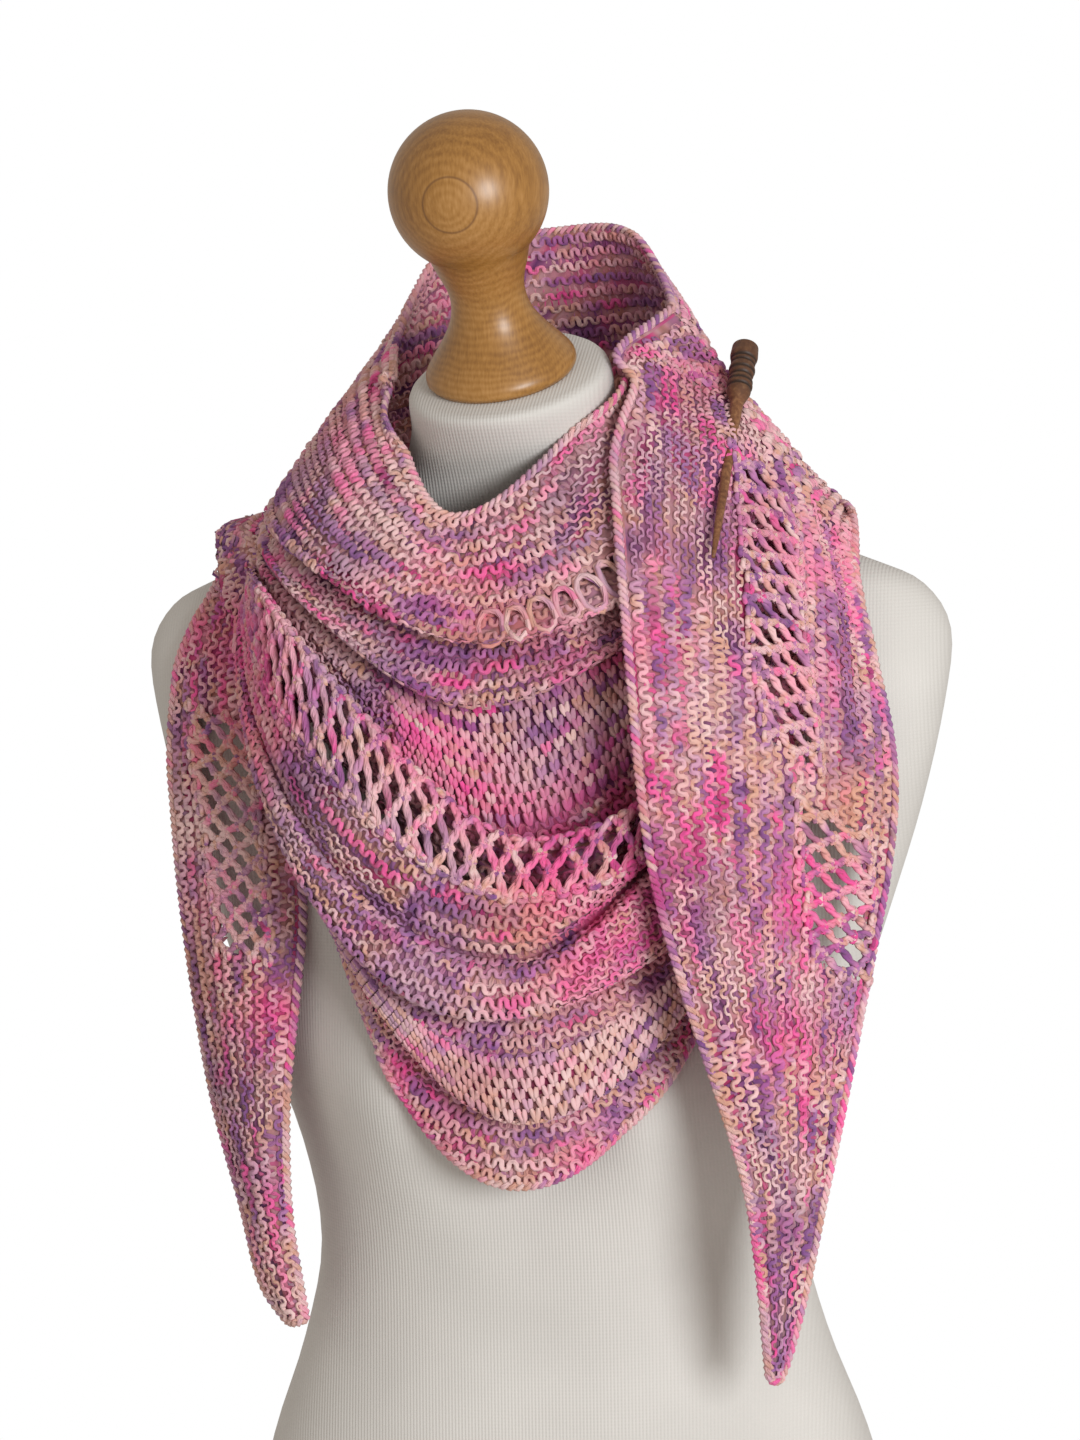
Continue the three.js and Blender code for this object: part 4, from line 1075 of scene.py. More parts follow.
def walnut_material(start, axis, length):
    m, tree, shader = material("walnut_turned_and_oiled", Roughness=0.5)
    place = add(tree, "TexCoord").outputs["Object"]
    along = add(tree, "VectorMath", [place, tuple(axis)], operation="DOT_PRODUCT").outputs["Value"]
    share = add(tree, "Math", [along, start.dot(axis)], operation="SUBTRACT")
    share = add(tree, "Math", [share, length], operation="DIVIDE")
    streaks = add(tree, "TexNoise", {"Vector": place, "Scale": STREAKS_PER_METRE, "Detail": 3,
                                     "Roughness": 0.6})
    wood = add(tree, "ValToRGB", [streaks], stops=WALNUT)
    low, high = HEAD_FROM
    head = add(tree, "MapRange", {"Value": share, "From Min": low, "From Max": high, "To Max": 0.65})
    wood = add(tree, "Mix", {SHARE: head, ONE: wood, TWO: linear("452a1b")}, data_type="RGBA")
    burnt = 0.0
    for groove in GROOVES:
        off = add(tree, "Math", [share, groove], operation="SUBTRACT")
        off = add(tree, "Math", [off], operation="ABSOLUTE")
        near = add(tree, "MapRange", {"Value": off, "From Min": 0.010, "From Max": 0.003, "To Max": 0.85})
        burnt = add(tree, "Math", [near, burnt], operation="MAXIMUM")
    wood = add(tree, "Mix", {SHARE: burnt, ONE: wood.outputs[MIXED], TWO: linear("1d110c")},
               data_type="RGBA")
    relief = add(tree, "Bump", {"Height": streaks, "Distance": 0.0002, "Strength": 0.5})
    join(tree, shader, {"Base Color": wood.outputs[MIXED], "Normal": relief})
    return m


def make_stick():
    turned = Matrix.Rotation(TURN, 3, "Z")
    start, head = turned @ STICK_POINT, turned @ STICK_HEAD
    axis = (head - start).normalized()
    length = (head - start).length
    bm = spin(stick_outline(length), 32)
    turn = Vector((0, 0, 1)).rotation_difference(axis).to_matrix().to_4x4()
    bmesh.ops.transform(bm, matrix=Matrix.Translation(start * MM) @ turn, verts=bm.verts)
    finish = walnut_material(start * MM, axis, length * MM)
    return finished(bm, "stick_turning", finish)


stick_turning = make_stick()
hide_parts("shawl_stick")

# %% [markdown]
# ## Hand-dyed yarn
# The yarn was dyed in short lengths: cream, pale pink, hot pink, lilac, purple and tan follow one
# another along each row, with dark plum specks. Neighbouring rows were knitted from neighbouring
# lengths, so the same colour also pools over some rows, and each pool below is listed.

# %% Dye
DYE = [
    (0.00, "c2307e"),
    (0.11, "f553a8"),
    (0.22, "f97fb6"),
    (0.32, "eec4c6"),
    (0.41, "eddcd2"),
    (0.49, "d8ae8e"),
    (0.56, "ebcac6"),
    (0.65, "b884b8"),
    (0.75, "74428c"),
    (0.84, "c079b6"),
    (0.92, "f650a6"),
    (1.00, "ab2678"),
]
SPECK = "4f1f4d"
POOL_DYES = {
    "tan": "dcb08c",
    "cream": "f3e2d8",
    "pale": "f4b0c0",
    "pink": "f858aa",
    "rose": "cf3e8a",
    "lilac": "bb92c0",
    "purple": "7c4894",
}
# Where one dye pools over several rows: centre and radius in the photograph's frame, in pixels.
POOLS = table(
    "x y radius dye weight",
    [
        [560, 420, 45, "cream", 0.6],
        [480, 500, 40, "cream", 0.8],
        [340, 430, 40, "pale", 0.7],
        [380, 500, 45, "cream", 0.5],
        [310, 480, 35, "lilac", 0.6],
        [330, 560, 45, "purple", 0.5],
        [560, 480, 45, "purple", 0.5],
        [470, 590, 60, "pink", 0.35],
        [590, 590, 50, "cream", 0.8],
        [500, 635, 35, "tan", 0.8],
        [350, 640, 45, "cream", 0.5],
        [390, 680, 40, "purple", 0.7],
        [560, 650, 40, "rose", 0.6],
        [420, 745, 45, "pink", 0.8],
        [560, 740, 50, "purple", 0.7],
        [530, 775, 35, "cream", 0.7],
        [600, 800, 55, "rose", 0.8],
        [480, 800, 40, "pink", 0.7],
        [250, 640, 40, "pink", 0.85],
        [265, 720, 35, "pink", 0.7],
        [300, 790, 45, "purple", 0.6],
        [290, 620, 35, "cream", 0.6],
        [330, 690, 35, "lilac", 0.6],
        [390, 790, 35, "cream", 0.8],
        [450, 850, 35, "cream", 0.5],
        [300, 860, 45, "cream", 0.5],
        [540, 860, 45, "pink", 0.7],
        [350, 930, 40, "lilac", 0.5],
        [520, 935, 50, "tan", 0.7],
        [600, 940, 55, "pink", 0.8],
        [660, 880, 40, "rose", 0.8],
        [430, 960, 45, "lilac", 0.6],
        [400, 1010, 40, "cream", 0.5],
        [490, 1050, 45, "lilac", 0.5],
        [620, 1030, 45, "cream", 0.6],
        [480, 1085, 35, "tan", 0.6],
        [400, 1080, 30, "pink", 0.7],
        [560, 1110, 45, "cream", 0.5],
        [590, 1160, 35, "pink", 0.7],
        [450, 1140, 35, "rose", 0.5],
        [200, 640, 35, "pink", 0.5],
        [225, 760, 45, "tan", 0.7],
        [200, 830, 45, "cream", 0.8],
        [210, 900, 40, "pale", 0.6],
        [200, 980, 40, "tan", 0.6],
        [272, 1020, 35, "pink", 0.85],
        [225, 1080, 40, "purple", 0.5],
        [240, 1170, 40, "lilac", 0.6],
        [285, 1300, 35, "cream", 0.6],
        [700, 380, 35, "rose", 0.6],
        [660, 450, 40, "lilac", 0.7],
        [720, 520, 35, "lilac", 0.5],
        [660, 560, 35, "pale", 0.4],
        [640, 650, 35, "pink", 0.5],
        [700, 700, 40, "cream", 0.6],
        [760, 520, 35, "rose", 0.5],
        [800, 560, 40, "pale", 0.7],
        [835, 560, 35, "pink", 0.5],
        [800, 680, 45, "pale", 0.7],
        [850, 800, 50, "tan", 0.8],
        [860, 720, 35, "lilac", 0.5],
        [690, 900, 40, "purple", 0.6],
        [740, 960, 35, "cream", 0.5],
        [810, 900, 45, "pink", 0.85],
        [790, 1040, 40, "pink", 0.7],
        [840, 1010, 35, "lilac", 0.6],
        [770, 1170, 40, "cream", 0.7],
        [790, 1230, 30, "purple", 0.6],
        [772, 1340, 30, "lilac", 0.7],
        [600, 270, 40, "rose", 0.5],
        [430, 290, 35, "pale", 0.6],
        [650, 290, 35, "lilac", 0.6],
    ],
)

print("dyes along the yarn", len(DYE), "and pools", len(POOLS))

# %% [markdown]
# A point of the cloth is carried into the photograph's frame to find the pools near it. Their
# colour and weight are stored on the mesh, so the material reads them without any camera.

# %% Pools
POOL_STRENGTH = 1.25


def photo_place(p):
    """Where points in millimetres fall in the photograph's frame, in pixels."""
    right, up, forward = camera_axes()
    d = p - to_part(np.array(TARGET))
    depth = d @ forward + DISTANCE
    zoom = DISTANCE / depth / PHOTO_SCALE
    return PHOTO_WIDE / 2 + (d @ right) * zoom, PHOTO_TALL / 2 - (d @ up) * zoom


def pools_at(p):
    """Colour and weight of the pools at points, for the side that the photograph shows."""
    x, y = photo_place(p)
    colour = np.zeros((len(p), 3))
    weight = np.zeros(len(p))
    for pool in POOLS:
        far = ((x - pool["x"]) ** 2 + (y - pool["y"]) ** 2) / pool["radius"] ** 2
        near = pool["weight"] * np.exp(-far)
        colour += near[:, None] * np.array(linear(POOL_DYES[pool["dye"]])[:3])
        weight += near
    return colour / np.maximum(weight, 1e-6)[:, None], np.clip(POOL_STRENGTH * weight, 0, 1)


print("the chest's middle falls at", [round(float(v)) for v in photo_place(to_part(np.array(TARGET)))])

# %% [markdown]
# Wool spun in two soft plies is matt, with a faint halo of fibres, and takes dye unevenly: the
# eye sees short streaks of colour, a twist in each thread and pale fuzz where the light grazes
# it, painted here at random as a sheen of faint pale flecks. The plies are drawn 4.5 mm to a turn,
# coarser than real yarn, or they would not show. Deep in the cloth each dye is painted darker and
# redder, as painted shade, because light reaches it through other yarn.
# Every stitch carries its place along the row and the row's number, and the noise is read there,
# so colour follows the knitting and not the room.

# %% Wool yarn
STITCH = 7.2
PLIES = 2.0
PLY_TWIST = 4.5
FUZZ_PER_METRE = 900
YARN_SHADE = 0.97
SUNK_SHADE = 0.78
GROUND_SHADE = 0.58
# Noise along the yarn: a patch's length in metres, its change from row to row, and a shift that
# keeps the noises apart.
FIELDS = table(
    "name length rows shift",
    [
        ["broad", 0.13, 0.37, 3.1],
        ["patch", 0.048, 0.83, 6.4],
        ["streak", 0.036, 5.7, 7.7],
        ["fleck", 0.007, 9.3, 1.9],
        ["taken", 0.022, 3.3, 5.2],
    ],
)
# What moves the hue along the dyes: a noise, the range of it that counts, and its share.
HUE_START = -0.31
HUE_PARTS = [("broad", 0.3, 0.7, 0.42), ("patch", 0.28, 0.72, 0.66), ("streak", 0.28, 0.72, 0.54)]


def yarn_material(title, shade, knitted):
    """Hand-dyed wool. shade darkens what lies deep, as painted shade; knitted draws stitches in place of
    plies.
    """
    m, tree, shader = material(title, Roughness=0.92, Specular_IOR_Level=0.2, Sheen_Weight=0.15,
                               Sheen_Roughness=0.6)
    uv = add(tree, "UVMap", uv_map="yarn")
    split = add(tree, "SeparateXYZ", [uv])
    along, across = split.outputs[0], split.outputs[1]
    row = add(tree, "Math", [across], operation="ROUND")
    fields = {}
    for field in FIELDS:
        one = add(tree, "Math", [along, 1 / field["length"]], operation="MULTIPLY")
        two = add(tree, "Math", [row, field["rows"]], operation="MULTIPLY")
        place = add(tree, "CombineXYZ", [one, two, field["shift"]])
        noise = add(tree, "TexNoise", {"Vector": place, "Scale": 1, "Roughness": 0.6})
        fields[field["name"]] = noise
    hue = HUE_START
    for name, low, high, share in HUE_PARTS:
        spread = add(tree, "MapRange", {"Value": fields[name], "From Min": low, "From Max": high})
        hue = add(tree, "Math", [spread, share, hue], operation="MULTIPLY_ADD")
    dyed = add(tree, "ValToRGB", [hue], stops=DYE)
    pool = add(tree, "Attribute", attribute_name="pool").outputs["Vector"]
    share = add(tree, "Attribute", attribute_name="pool_share").outputs["Fac"]
    taken = add(tree, "MapRange", {"Value": fields["taken"], "From Min": 0.66, "From Max": 0.40})
    share = add(tree, "Math", [share, taken], operation="MULTIPLY")
    dyed = add(tree, "Mix", {SHARE: share, ONE: dyed, TWO: pool}, data_type="RGBA")
    speck = add(tree, "MapRange", {"Value": fields["fleck"], "From Min": 0.67, "From Max": 0.74,
                                   "To Max": 0.6})
    dyed = add(tree, "Mix", {SHARE: speck, ONE: dyed.outputs[MIXED], TWO: linear(SPECK)},
               data_type="RGBA")
    place = add(tree, "TexCoord").outputs["Object"]
    fuzz = add(tree, "TexNoise", {"Vector": place, "Scale": FUZZ_PER_METRE})
    # Painted sheen: random pale flecks stand for light caught in the yarn's fuzz.
    pale = add(tree, "Math", [fuzz, 0.10], operation="MULTIPLY")
    dyed = add(tree, "Mix", {SHARE: pale, ONE: dyed.outputs[MIXED], TWO: linear("f3e6e4")},
               data_type="RGBA")
    # The dye's own shift of hue, multiplied by painted shade: a shade below one darkens and reddens yarn
    # that lies deep.
    dye_hue_and_painted_shade = (shade, 0.83 * shade ** 1.5, 0.89 * shade ** 1.3, 1)
    dyed = add(tree, "Mix", {SHARE: 1.0, ONE: dyed.outputs[MIXED], TWO: dye_hue_and_painted_shade}, data_type="RGBA",
               blend_type="MULTIPLY")
    if knitted:
        wave = add(tree, "Math", [across, 2 * math.pi], operation="MULTIPLY")
        wave = add(tree, "Math", [wave], operation="SINE")
        stitches = add(tree, "Math", [along, 2 * math.pi / (STITCH * MM)], operation="MULTIPLY")
        stitches = add(tree, "Math", [stitches], operation="SINE")
        height = add(tree, "Math", [stitches, 0.5, wave], operation="MULTIPLY_ADD")
    else:
        twist = add(tree, "Math", [along, 2 * math.pi / (PLY_TWIST * MM)], operation="MULTIPLY")
        plies = add(tree, "Math", [across, 2 * math.pi * PLIES, twist], operation="MULTIPLY_ADD")
        plies = add(tree, "Math", [plies], operation="SINE")
        height = add(tree, "Math", [fuzz, 0.8, plies], operation="MULTIPLY_ADD")
    deep = 0.0008 if knitted else 0.00022
    relief = add(tree, "Bump", {"Height": height, "Distance": deep, "Strength": 0.8})
    join(tree, shader, {"Base Color": dyed.outputs[MIXED], "Normal": relief})
    return m


yarn = yarn_material("wool_yarn_spun_and_hand_dyed", YARN_SHADE, False)
# Painted shade: the legs between the ridges and the knitted ground are darker, redder copies of this yarn.
painted_shade_sunk_yarn = yarn_material("wool_yarn_between_the_ridges_in_painted_shade", SUNK_SHADE, False)
ground = yarn_material("wool_knitted_ground_in_painted_shade", GROUND_SHADE, True)
print("materials", [m.name for m in (yarn, painted_shade_sunk_yarn, ground)])

# %% [markdown]
# ## Meshes from arrays
# A ridge of knitting repeats thousands of times, so its mesh is written straight from arrays of
# points and quads. Each piece also gets its own map along the yarn and the pools of dye.

# %% Mesh builder
triangles = {}


def build(name, parts, finish=yarn):
    """One object from a list of (points in mm, quads, uv) parts."""
    points, quads, uvs, start = [], [], [], 0
    for p, q, uv in parts:
        points.append(p)
        quads.append(q + start)
        uvs.append(uv)
        start += len(p)
    points, quads, uvs = np.concatenate(points), np.concatenate(quads), np.concatenate(uvs)
    mesh = bpy.data.meshes.new(name)
    mesh.vertices.add(len(points))
    mesh.vertices.foreach_set("co", (points * MM).astype(np.float32).ravel())
    mesh.loops.add(quads.size)
    mesh.loops.foreach_set("vertex_index", quads.astype(np.int32).ravel())
    mesh.polygons.add(len(quads))
    mesh.polygons.foreach_set("loop_start", np.arange(0, quads.size, 4, dtype=np.int32))
    mesh.polygons.foreach_set("use_smooth", np.ones(len(quads), bool))
    layer = mesh.uv_layers.new(name="yarn")
    layer.data.foreach_set("uv", uvs[quads.ravel()].astype(np.float32).ravel())
    colour, weight = pools_at(points)
    pool = mesh.attributes.new("pool", "FLOAT_VECTOR", "POINT")
    pool.data.foreach_set("vector", colour.astype(np.float32).ravel())
    pool_share = mesh.attributes.new("pool_share", "FLOAT", "POINT")
    pool_share.data.foreach_set("value", weight.astype(np.float32))
    mesh.update()
    mesh.validate()
    mesh.materials.append(finish)
    piece = bpy.data.objects.new(name, mesh)
    bpy.context.scene.collection.objects.link(piece)
    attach(piece, "root")
    triangles[name] = 2 * len(quads)
    print(name, "has", triangles[name], "triangles")
    return piece


# %% [markdown]
# ## The ridges
# Garter stitch shows rows of purl bumps: from the front one ridge is a yarn that loops up and
# down once a stitch. Yarn runs through the whole piece, so one tube with a path is enough for
# all of it.

# %% Yarn along a path
# Where the points round a yarn lie, in degrees from straight out.
HALF_TUBE = np.radians([-105, -38, 38, 105])
SUNK_TUBE = np.radians([-75, 0, 75])
FULL_TUBE = np.radians([0, 72, 144, 216, 288])
# What a yarn's round takes of the step from one row's number to the next.
ROUND_SHARE = 0.8


def unit(v):
    return v / np.maximum(np.linalg.norm(v, axis=-1, keepdims=True), 1e-9)


def lengths(p):
    """How far along a path each of its points lies."""
    return np.concatenate([[0], np.cumsum(np.linalg.norm(np.diff(p, axis=0), axis=1))])


def resample(p, n, extra, step):
    """A course at even steps along its length, with its normals and other columns."""
    length = lengths(p)
    count = max(4, int(length[-1] / step) + 1)
    at = np.linspace(0, length[-1], count)
    columns = [np.interp(at, length, c) for c in np.concatenate([p, n, extra], 1).T]
    out = np.stack(columns, 1)
    return out[:, :3], unit(out[:, 3:6]), out[:, 6:], at


def tube(path, normal, radius, uv_along, uv_row, angles=HALF_TUBE, keep=None):
    """A yarn along a path, with its angles measured from the outward normal.

    Only the full tube is closed: the others leave the yarn's hidden back open.
    """
    tangent = unit(np.gradient(path, axis=0))
    side = unit(np.cross(tangent, normal))
    out = unit(np.cross(side, tangent))
    radius = np.broadcast_to(radius, len(path))[:, None, None]
    ring = out[:, None] * np.cos(angles)[None, :, None] + side[:, None] * np.sin(angles)[None, :, None]
    points = path[:, None] + ring * radius
    m = len(angles)
    spans = m if angles is FULL_TUBE else m - 1
    i = np.arange(len(path) - 1)[:, None] * m
    j = np.arange(spans)[None, :]
    j2 = (j + 1) % m
    quads = np.stack([i + j, i + m + j, i + m + j2, i + j2], -1)
    if keep is not None:
        quads = quads[keep[:-1] & keep[1:]]
    round_yarn = np.tile((np.arange(m) / m - 0.5) * ROUND_SHARE, len(path))
    uv = np.stack([np.repeat(uv_along, m), uv_row + round_yarn], -1)
    return points.reshape(-1, 3), quads.reshape(-1, 4), uv


print("a ridge's yarn has", 2 * (len(HALF_TUBE) - 1), "triangles a step")

# %% [markdown]
# Rows are 7.2 mm apart where the cloth lies flat. Where it is gathered on a shoulder they press
# together, and where it is pulled they spread, so lines are laid out eight to a ridge, and each
# place shows every line, every second, every fourth and so on, whichever is nearest to a ridge.
# The first ridge lies half a ridge from the edge.

# %% Ridge lines
RIDGE = 7.2
LINES_PER_RIDGE = 8
LEAD_LINES = LINES_PER_RIDGE // 2 - 1
LEAST_RIDGE = 0.58 * RIDGE
MOST_DOUBLINGS = 5


def ridge_lines(surface, first, last, column_at):
    """Line values an eighth of a ridge apart along the cloth at one column."""
    rows = surface.points[:, column_at]
    length = lengths(rows)
    line = np.linspace(0, LAST_COURSE, surface.rows)
    low, high = np.interp([first, last], line, length)
    count = max(2, round((high - low) / RIDGE)) * LINES_PER_RIDGE
    at = low + np.arange(1, count) * (high - low) / count
    return np.interp(at, length, line)


front_lines = ridge_lines(surfaces["front_drape"], 0, LAST_COURSE, surfaces["front_drape"].columns // 2)
print("ridges down the middle of the front", len(front_lines) // LINES_PER_RIDGE)

# %% [markdown]
# No hand knits two stitches alike. Each yarn loops up and down once a stitch, leans a little one
# way and the other, and drifts off its row by a random amount. The legs of the stitches show
# sunk between two ridges, wherever the ridges leave room for them.

# %% Ridges
# Along a row: steps a stitch, how far the stitches waver and drift in millimetres, and the shift
# from one row to the next in radians.
STEPS = 8
WAVER = 0.9
WAVER_EVERY = 2.2 * STITCH
DRIFT = 0.3
DRIFT_EVERY = 26
ROW_SHIFT = 2.4
# Across and out: the swing of a loop as a share of a ridge's room, how uneven it is, its lean as
# a share of a stitch, and how its yarn arches and lifts in millimetres.
SWING = 0.27
UNEVEN = 0.035
LEAN_SHARE = 0.085
ARCH = 0.42
LIFT = 0.22
# The yarn's radius as a share of the room, and the limits of both.
THICK_SHARE = 0.165
THICK_LIMITS = (0.7, 1.22)
ROOM_LIMITS = (3.4, 8.4)
# A ridge lies this deep, and dives deeper where it ends at an opening.
REST_DEPTH = 0.25
DIVE = 2.2
SETTLE_STEPS = 7
SETTLED_FROM = 0.25
# Legs between the ridges: their swing, depth, thickness, and the least room that they need.
SUNK_SWING = 0.3
SUNK_DEPTH = 1.15
SUNK_THICK = 0.9
SUNK_ROOM = 0.62 * RIDGE
SUNK_ROWS = 100


def wander(at, every, size):
    """Random values about zero along a length, with a new one each so many millimetres."""
    knots = np.arange(0, at[-1] + 2 * every, every)
    return np.interp(at, knots, rng.normal(0, size, len(knots)))


def loops(p, n, at, room, spread, deep, k):
    """The path of a yarn that loops across a course, and its radius."""
    phase = 2 * math.pi * (at + wander(at, WAVER_EVERY, WAVER)) / STITCH + k * ROW_SHIFT
    tangent = unit(np.gradient(p, axis=0))
    across = unit(np.cross(n, tangent))
    uneven = wander(at, STITCH, 1.0)
    swing = np.sin(phase) * room * (spread + UNEVEN * uneven) + wander(at, DRIFT_EVERY, DRIFT)
    lean = -np.sin(2 * phase) * LEAN_SHARE * STITCH
    height = ARCH * np.cos(2 * phase) + LIFT * uneven - deep
    path = p + across * swing[:, None] + tangent * lean[:, None] + n * height[:, None]
    radius = np.clip(room * THICK_SHARE, *THICK_LIMITS)
    return path, radius * (1 + 0.08 * np.cos(2 * phase) + 0.05 * uneven)


def ridges(surface, lines, covered=None, inward=False, row_start=0, along_start=0.0, sunk=False):
    """Looping yarns on a surface, or the legs that lie sunk between them.

    covered(line, share, points) tells where none is needed.
    """
    parts = []
    down = np.linalg.norm(np.gradient(surface.points, axis=0), axis=-1)
    down *= (surface.rows - 1) / LAST_COURSE
    flip, base = (-1, WALL) if inward else (1, 0.0)
    across_share = np.linspace(0, 1, surface.columns)
    line_step = np.gradient(np.asarray(lines))

    def shown(gap, k):
        doublings = np.ceil(np.log2(LEAST_RIDGE / np.maximum(gap, 0.1)))
        every = 2 ** np.clip(doublings, 0, MOST_DOUBLINGS).astype(int)
        if sunk:
            return every, (every > 1) & (k % every == every // 2) & (gap * every > SUNK_ROOM)
        return every, k % every == 0

    for number, line in enumerate(lines):
        k = number - LEAD_LINES
        index = min(surface.rows - 1, int(round(line / LAST_COURSE * (surface.rows - 1))))
        gap = down[index] * line_step[number]
        if not shown(gap, k)[1].any():
            continue
        p, n = surface.row(line)
        step = STITCH / (STEPS - 2 if sunk else STEPS)
        p, n, extra, at = resample(p, n, np.stack([gap, across_share], 1), step)
        gap, share = extra[:, 0], extra[:, 1]
        every, keep = shown(gap, k)
        if covered is not None:
            keep &= ~covered(np.full(len(share), line), share, p)
        if not keep.any():
            continue
        room = np.clip(gap * every, *ROOM_LIMITS)
        settle = np.convolve(keep, np.ones(SETTLE_STEPS) / SETTLE_STEPS, "same")
        deep = REST_DEPTH + DIVE * (1 - settle) + (SUNK_DEPTH if sunk else 0)
        spread = SUNK_SWING if sunk else SWING
        path, radius = loops(p - n * base, flip * n, at, room, spread, deep, k)
        grown = keep | (settle > SETTLED_FROM)
        row = row_start + k // LINES_PER_RIDGE + (SUNK_ROWS if sunk else 0)
        angles = SUNK_TUBE if sunk else HALF_TUBE
        thick = radius * (SUNK_THICK if sunk else 1)
        parts.append(tube(path, flip * n, thick, at * MM + along_start, row, angles, grown))
    return parts


print("a ridge's yarn is", round(2 * THICK_SHARE * RIDGE, 2), "mm thick where the cloth lies flat")

# %% [markdown]
# ## The ground of the knitting
# Behind the ridges lies a thin wall of cloth, painted darker as painted shade, because little light
# gets between the stitches. It is left open in the lace bands.

# %% Ground
GROUND_DEEP = 1.35
GROUND_BACK = 0.35


def ground_part(surface, rows, columns, open_at=None):
    """A closed thin wall under the ridges, with open_at telling which cells stay open."""
    i = np.round(np.linspace(0, surface.rows - 1, rows)).astype(int)
    j = np.round(np.linspace(0, surface.columns - 1, columns)).astype(int)
    p = surface.points[i][:, j]
    n = surface.normals[i][:, j]
    outer = p - n * GROUND_DEEP
    inner = p - n * (WALL - GROUND_BACK)
    line, share = np.meshgrid(i / (surface.rows - 1) * LAST_COURSE, j / (surface.columns - 1),
                              indexing="ij")
    length = np.cumsum(np.pad(np.linalg.norm(np.diff(p, axis=1), axis=-1), ((0, 0), (1, 0))), axis=1)
    width = np.cumsum(np.pad(np.linalg.norm(np.diff(p, axis=0), axis=-1), ((1, 0), (0, 0))), axis=0)
    uv = np.stack([length * MM, width / RIDGE], -1).reshape(-1, 2)
    cells = np.ones((rows - 1, columns - 1), bool)
    if open_at is not None:
        cells = ~open_at(*((v[:-1, :-1] + v[1:, 1:]) / 2 for v in (line, share, p)))
    a = (np.arange(rows - 1)[:, None] * columns + np.arange(columns - 1)[None, :])[cells]
    front = np.stack([a, a + columns, a + columns + 1, a + 1], -1)
    shift = rows * columns
    back = front[:, ::-1] + shift
    edges = {}
    for quad in front:
        for m in range(4):
            one, two = int(quad[m]), int(quad[(m + 1) % 4])
            if (two, one) in edges:
                del edges[(two, one)]
            else:
                edges[(one, two)] = True
    rim = np.array([[two, one, one + shift, two + shift] for one, two in edges])
    quads = np.concatenate([front, back, rim])
    points = np.concatenate([outer.reshape(-1, 3), inner.reshape(-1, 3)])
    cross = np.cross(p[1, 0] - p[0, 0], p[0, 1] - p[0, 0]) @ n[0, 0]
    if cross < 0:
        quads = quads[:, ::-1]
    used = np.unique(quads)
    order = np.full(len(points), -1)
    order[used] = np.arange(len(used))
    return points[used], order[quads], np.concatenate([uv, uv])[used]


def sheet_size(surface):
    """The flat width, length and area of a stretch, in metres, measured along the cloth."""
    p = surface.points * MM
    rows = np.linalg.norm(np.diff(p, axis=1), axis=-1).sum(1)
    columns = np.linalg.norm(np.diff(p, axis=0), axis=-1).sum(0)
    a, b = p[1:, :-1] - p[:-1, :-1], p[:-1, 1:] - p[:-1, :-1]
    area = np.linalg.norm(np.cross(a, b), axis=-1).sum()
    return float(rows.max()), float(columns.max()), float(area)


print("the front measures", [round(v, 3) for v in sheet_size(surfaces["front_drape"])], "m along the cloth")

# %% [markdown]
# ## Openwork
# Lace bands run along the shawl and slant across its tails. A hole in knitting is a yarn-over
# beside two stitches that are knitted together, so the bars between holes are double and lean to
# and fro. Each band is a row of the table: where it starts and ends along the cloth, and its top
# and foot there.

# %% Lace bands
LACE_COLUMNS = "start end startTop startFoot endTop endFoot tiers"
FRONT_LACE = table(
    LACE_COLUMNS, [[0.10, 0.385, 9.06, 9.94, 9.06, 9.94, 4], [0.385, 0.80, 9.06, 9.94, 9.06, 9.94, 3]]
)
RIGHT_LACE = table(
    LACE_COLUMNS, [[0.14, 0.35, 7.6, 11.6, 10.0, 14.0, 4], [0.38, 0.54, 12.4, 17.6, 14.4, 19.6, 4]]
)
LEFT_LACE = table(LACE_COLUMNS, [[0.26, 0.56, 7.8, 16.2, 5.4, 13.8, 5]])
EYELET_SHARE = (0.50, 0.76)
EYELET_LINES = (1.40, 1.84)


def band_line(band, share, depth):
    """The course at a depth of a band, 0 at its top and 1 at its foot."""
    t = (share - band["start"]) / (band["end"] - band["start"])
    top = mix(band["startTop"], band["endTop"], t)
    return mix(top, mix(band["startFoot"], band["endFoot"], t), depth)


def in_bands(bands):
    """A test of courses and shares along the knitting: are they inside one of these bands?"""
    def inside(line, share, p):
        found = np.zeros(np.shape(line), bool)
        for band in bands:
            within = (share > band["start"]) & (share < band["end"])
            found |= within & (line > band_line(band, share, 0)) & (line < band_line(band, share, 1))
        return found

    return inside


def in_eyelets(line, share, p):
    within = (share > EYELET_SHARE[0]) & (share < EYELET_SHARE[1])
    return within & (line > EYELET_LINES[0]) & (line < EYELET_LINES[1])


def either(*tests):
    def inside(line, share, p):
        return np.any([test(line, share, p) for test in tests], axis=0)

    return inside


def sample(surface, line, share):
    """Points, normals and directions along the knitting at arrays of course and share."""
    line, share = np.broadcast_arrays(np.asarray(line, float), np.asarray(share, float))
    i = np.clip(line / LAST_COURSE, 0, 1) * (surface.rows - 1)
    j = np.clip(share, 0, 1) * (surface.columns - 1)
    i0 = np.minimum(i.astype(int), surface.rows - 2)
    j0 = np.minimum(j.astype(int), surface.columns - 2)
    u, v = (i - i0)[..., None], (j - j0)[..., None]

    def blend(values):
        near = mix(values[i0, j0], values[i0, j0 + 1], v)
        return mix(near, mix(values[i0 + 1, j0], values[i0 + 1, j0 + 1], v), u)

    along = surface.points[i0, j0 + 1] - surface.points[i0, j0]
    return blend(surface.points), unit(blend(surface.normals)), unit(along)


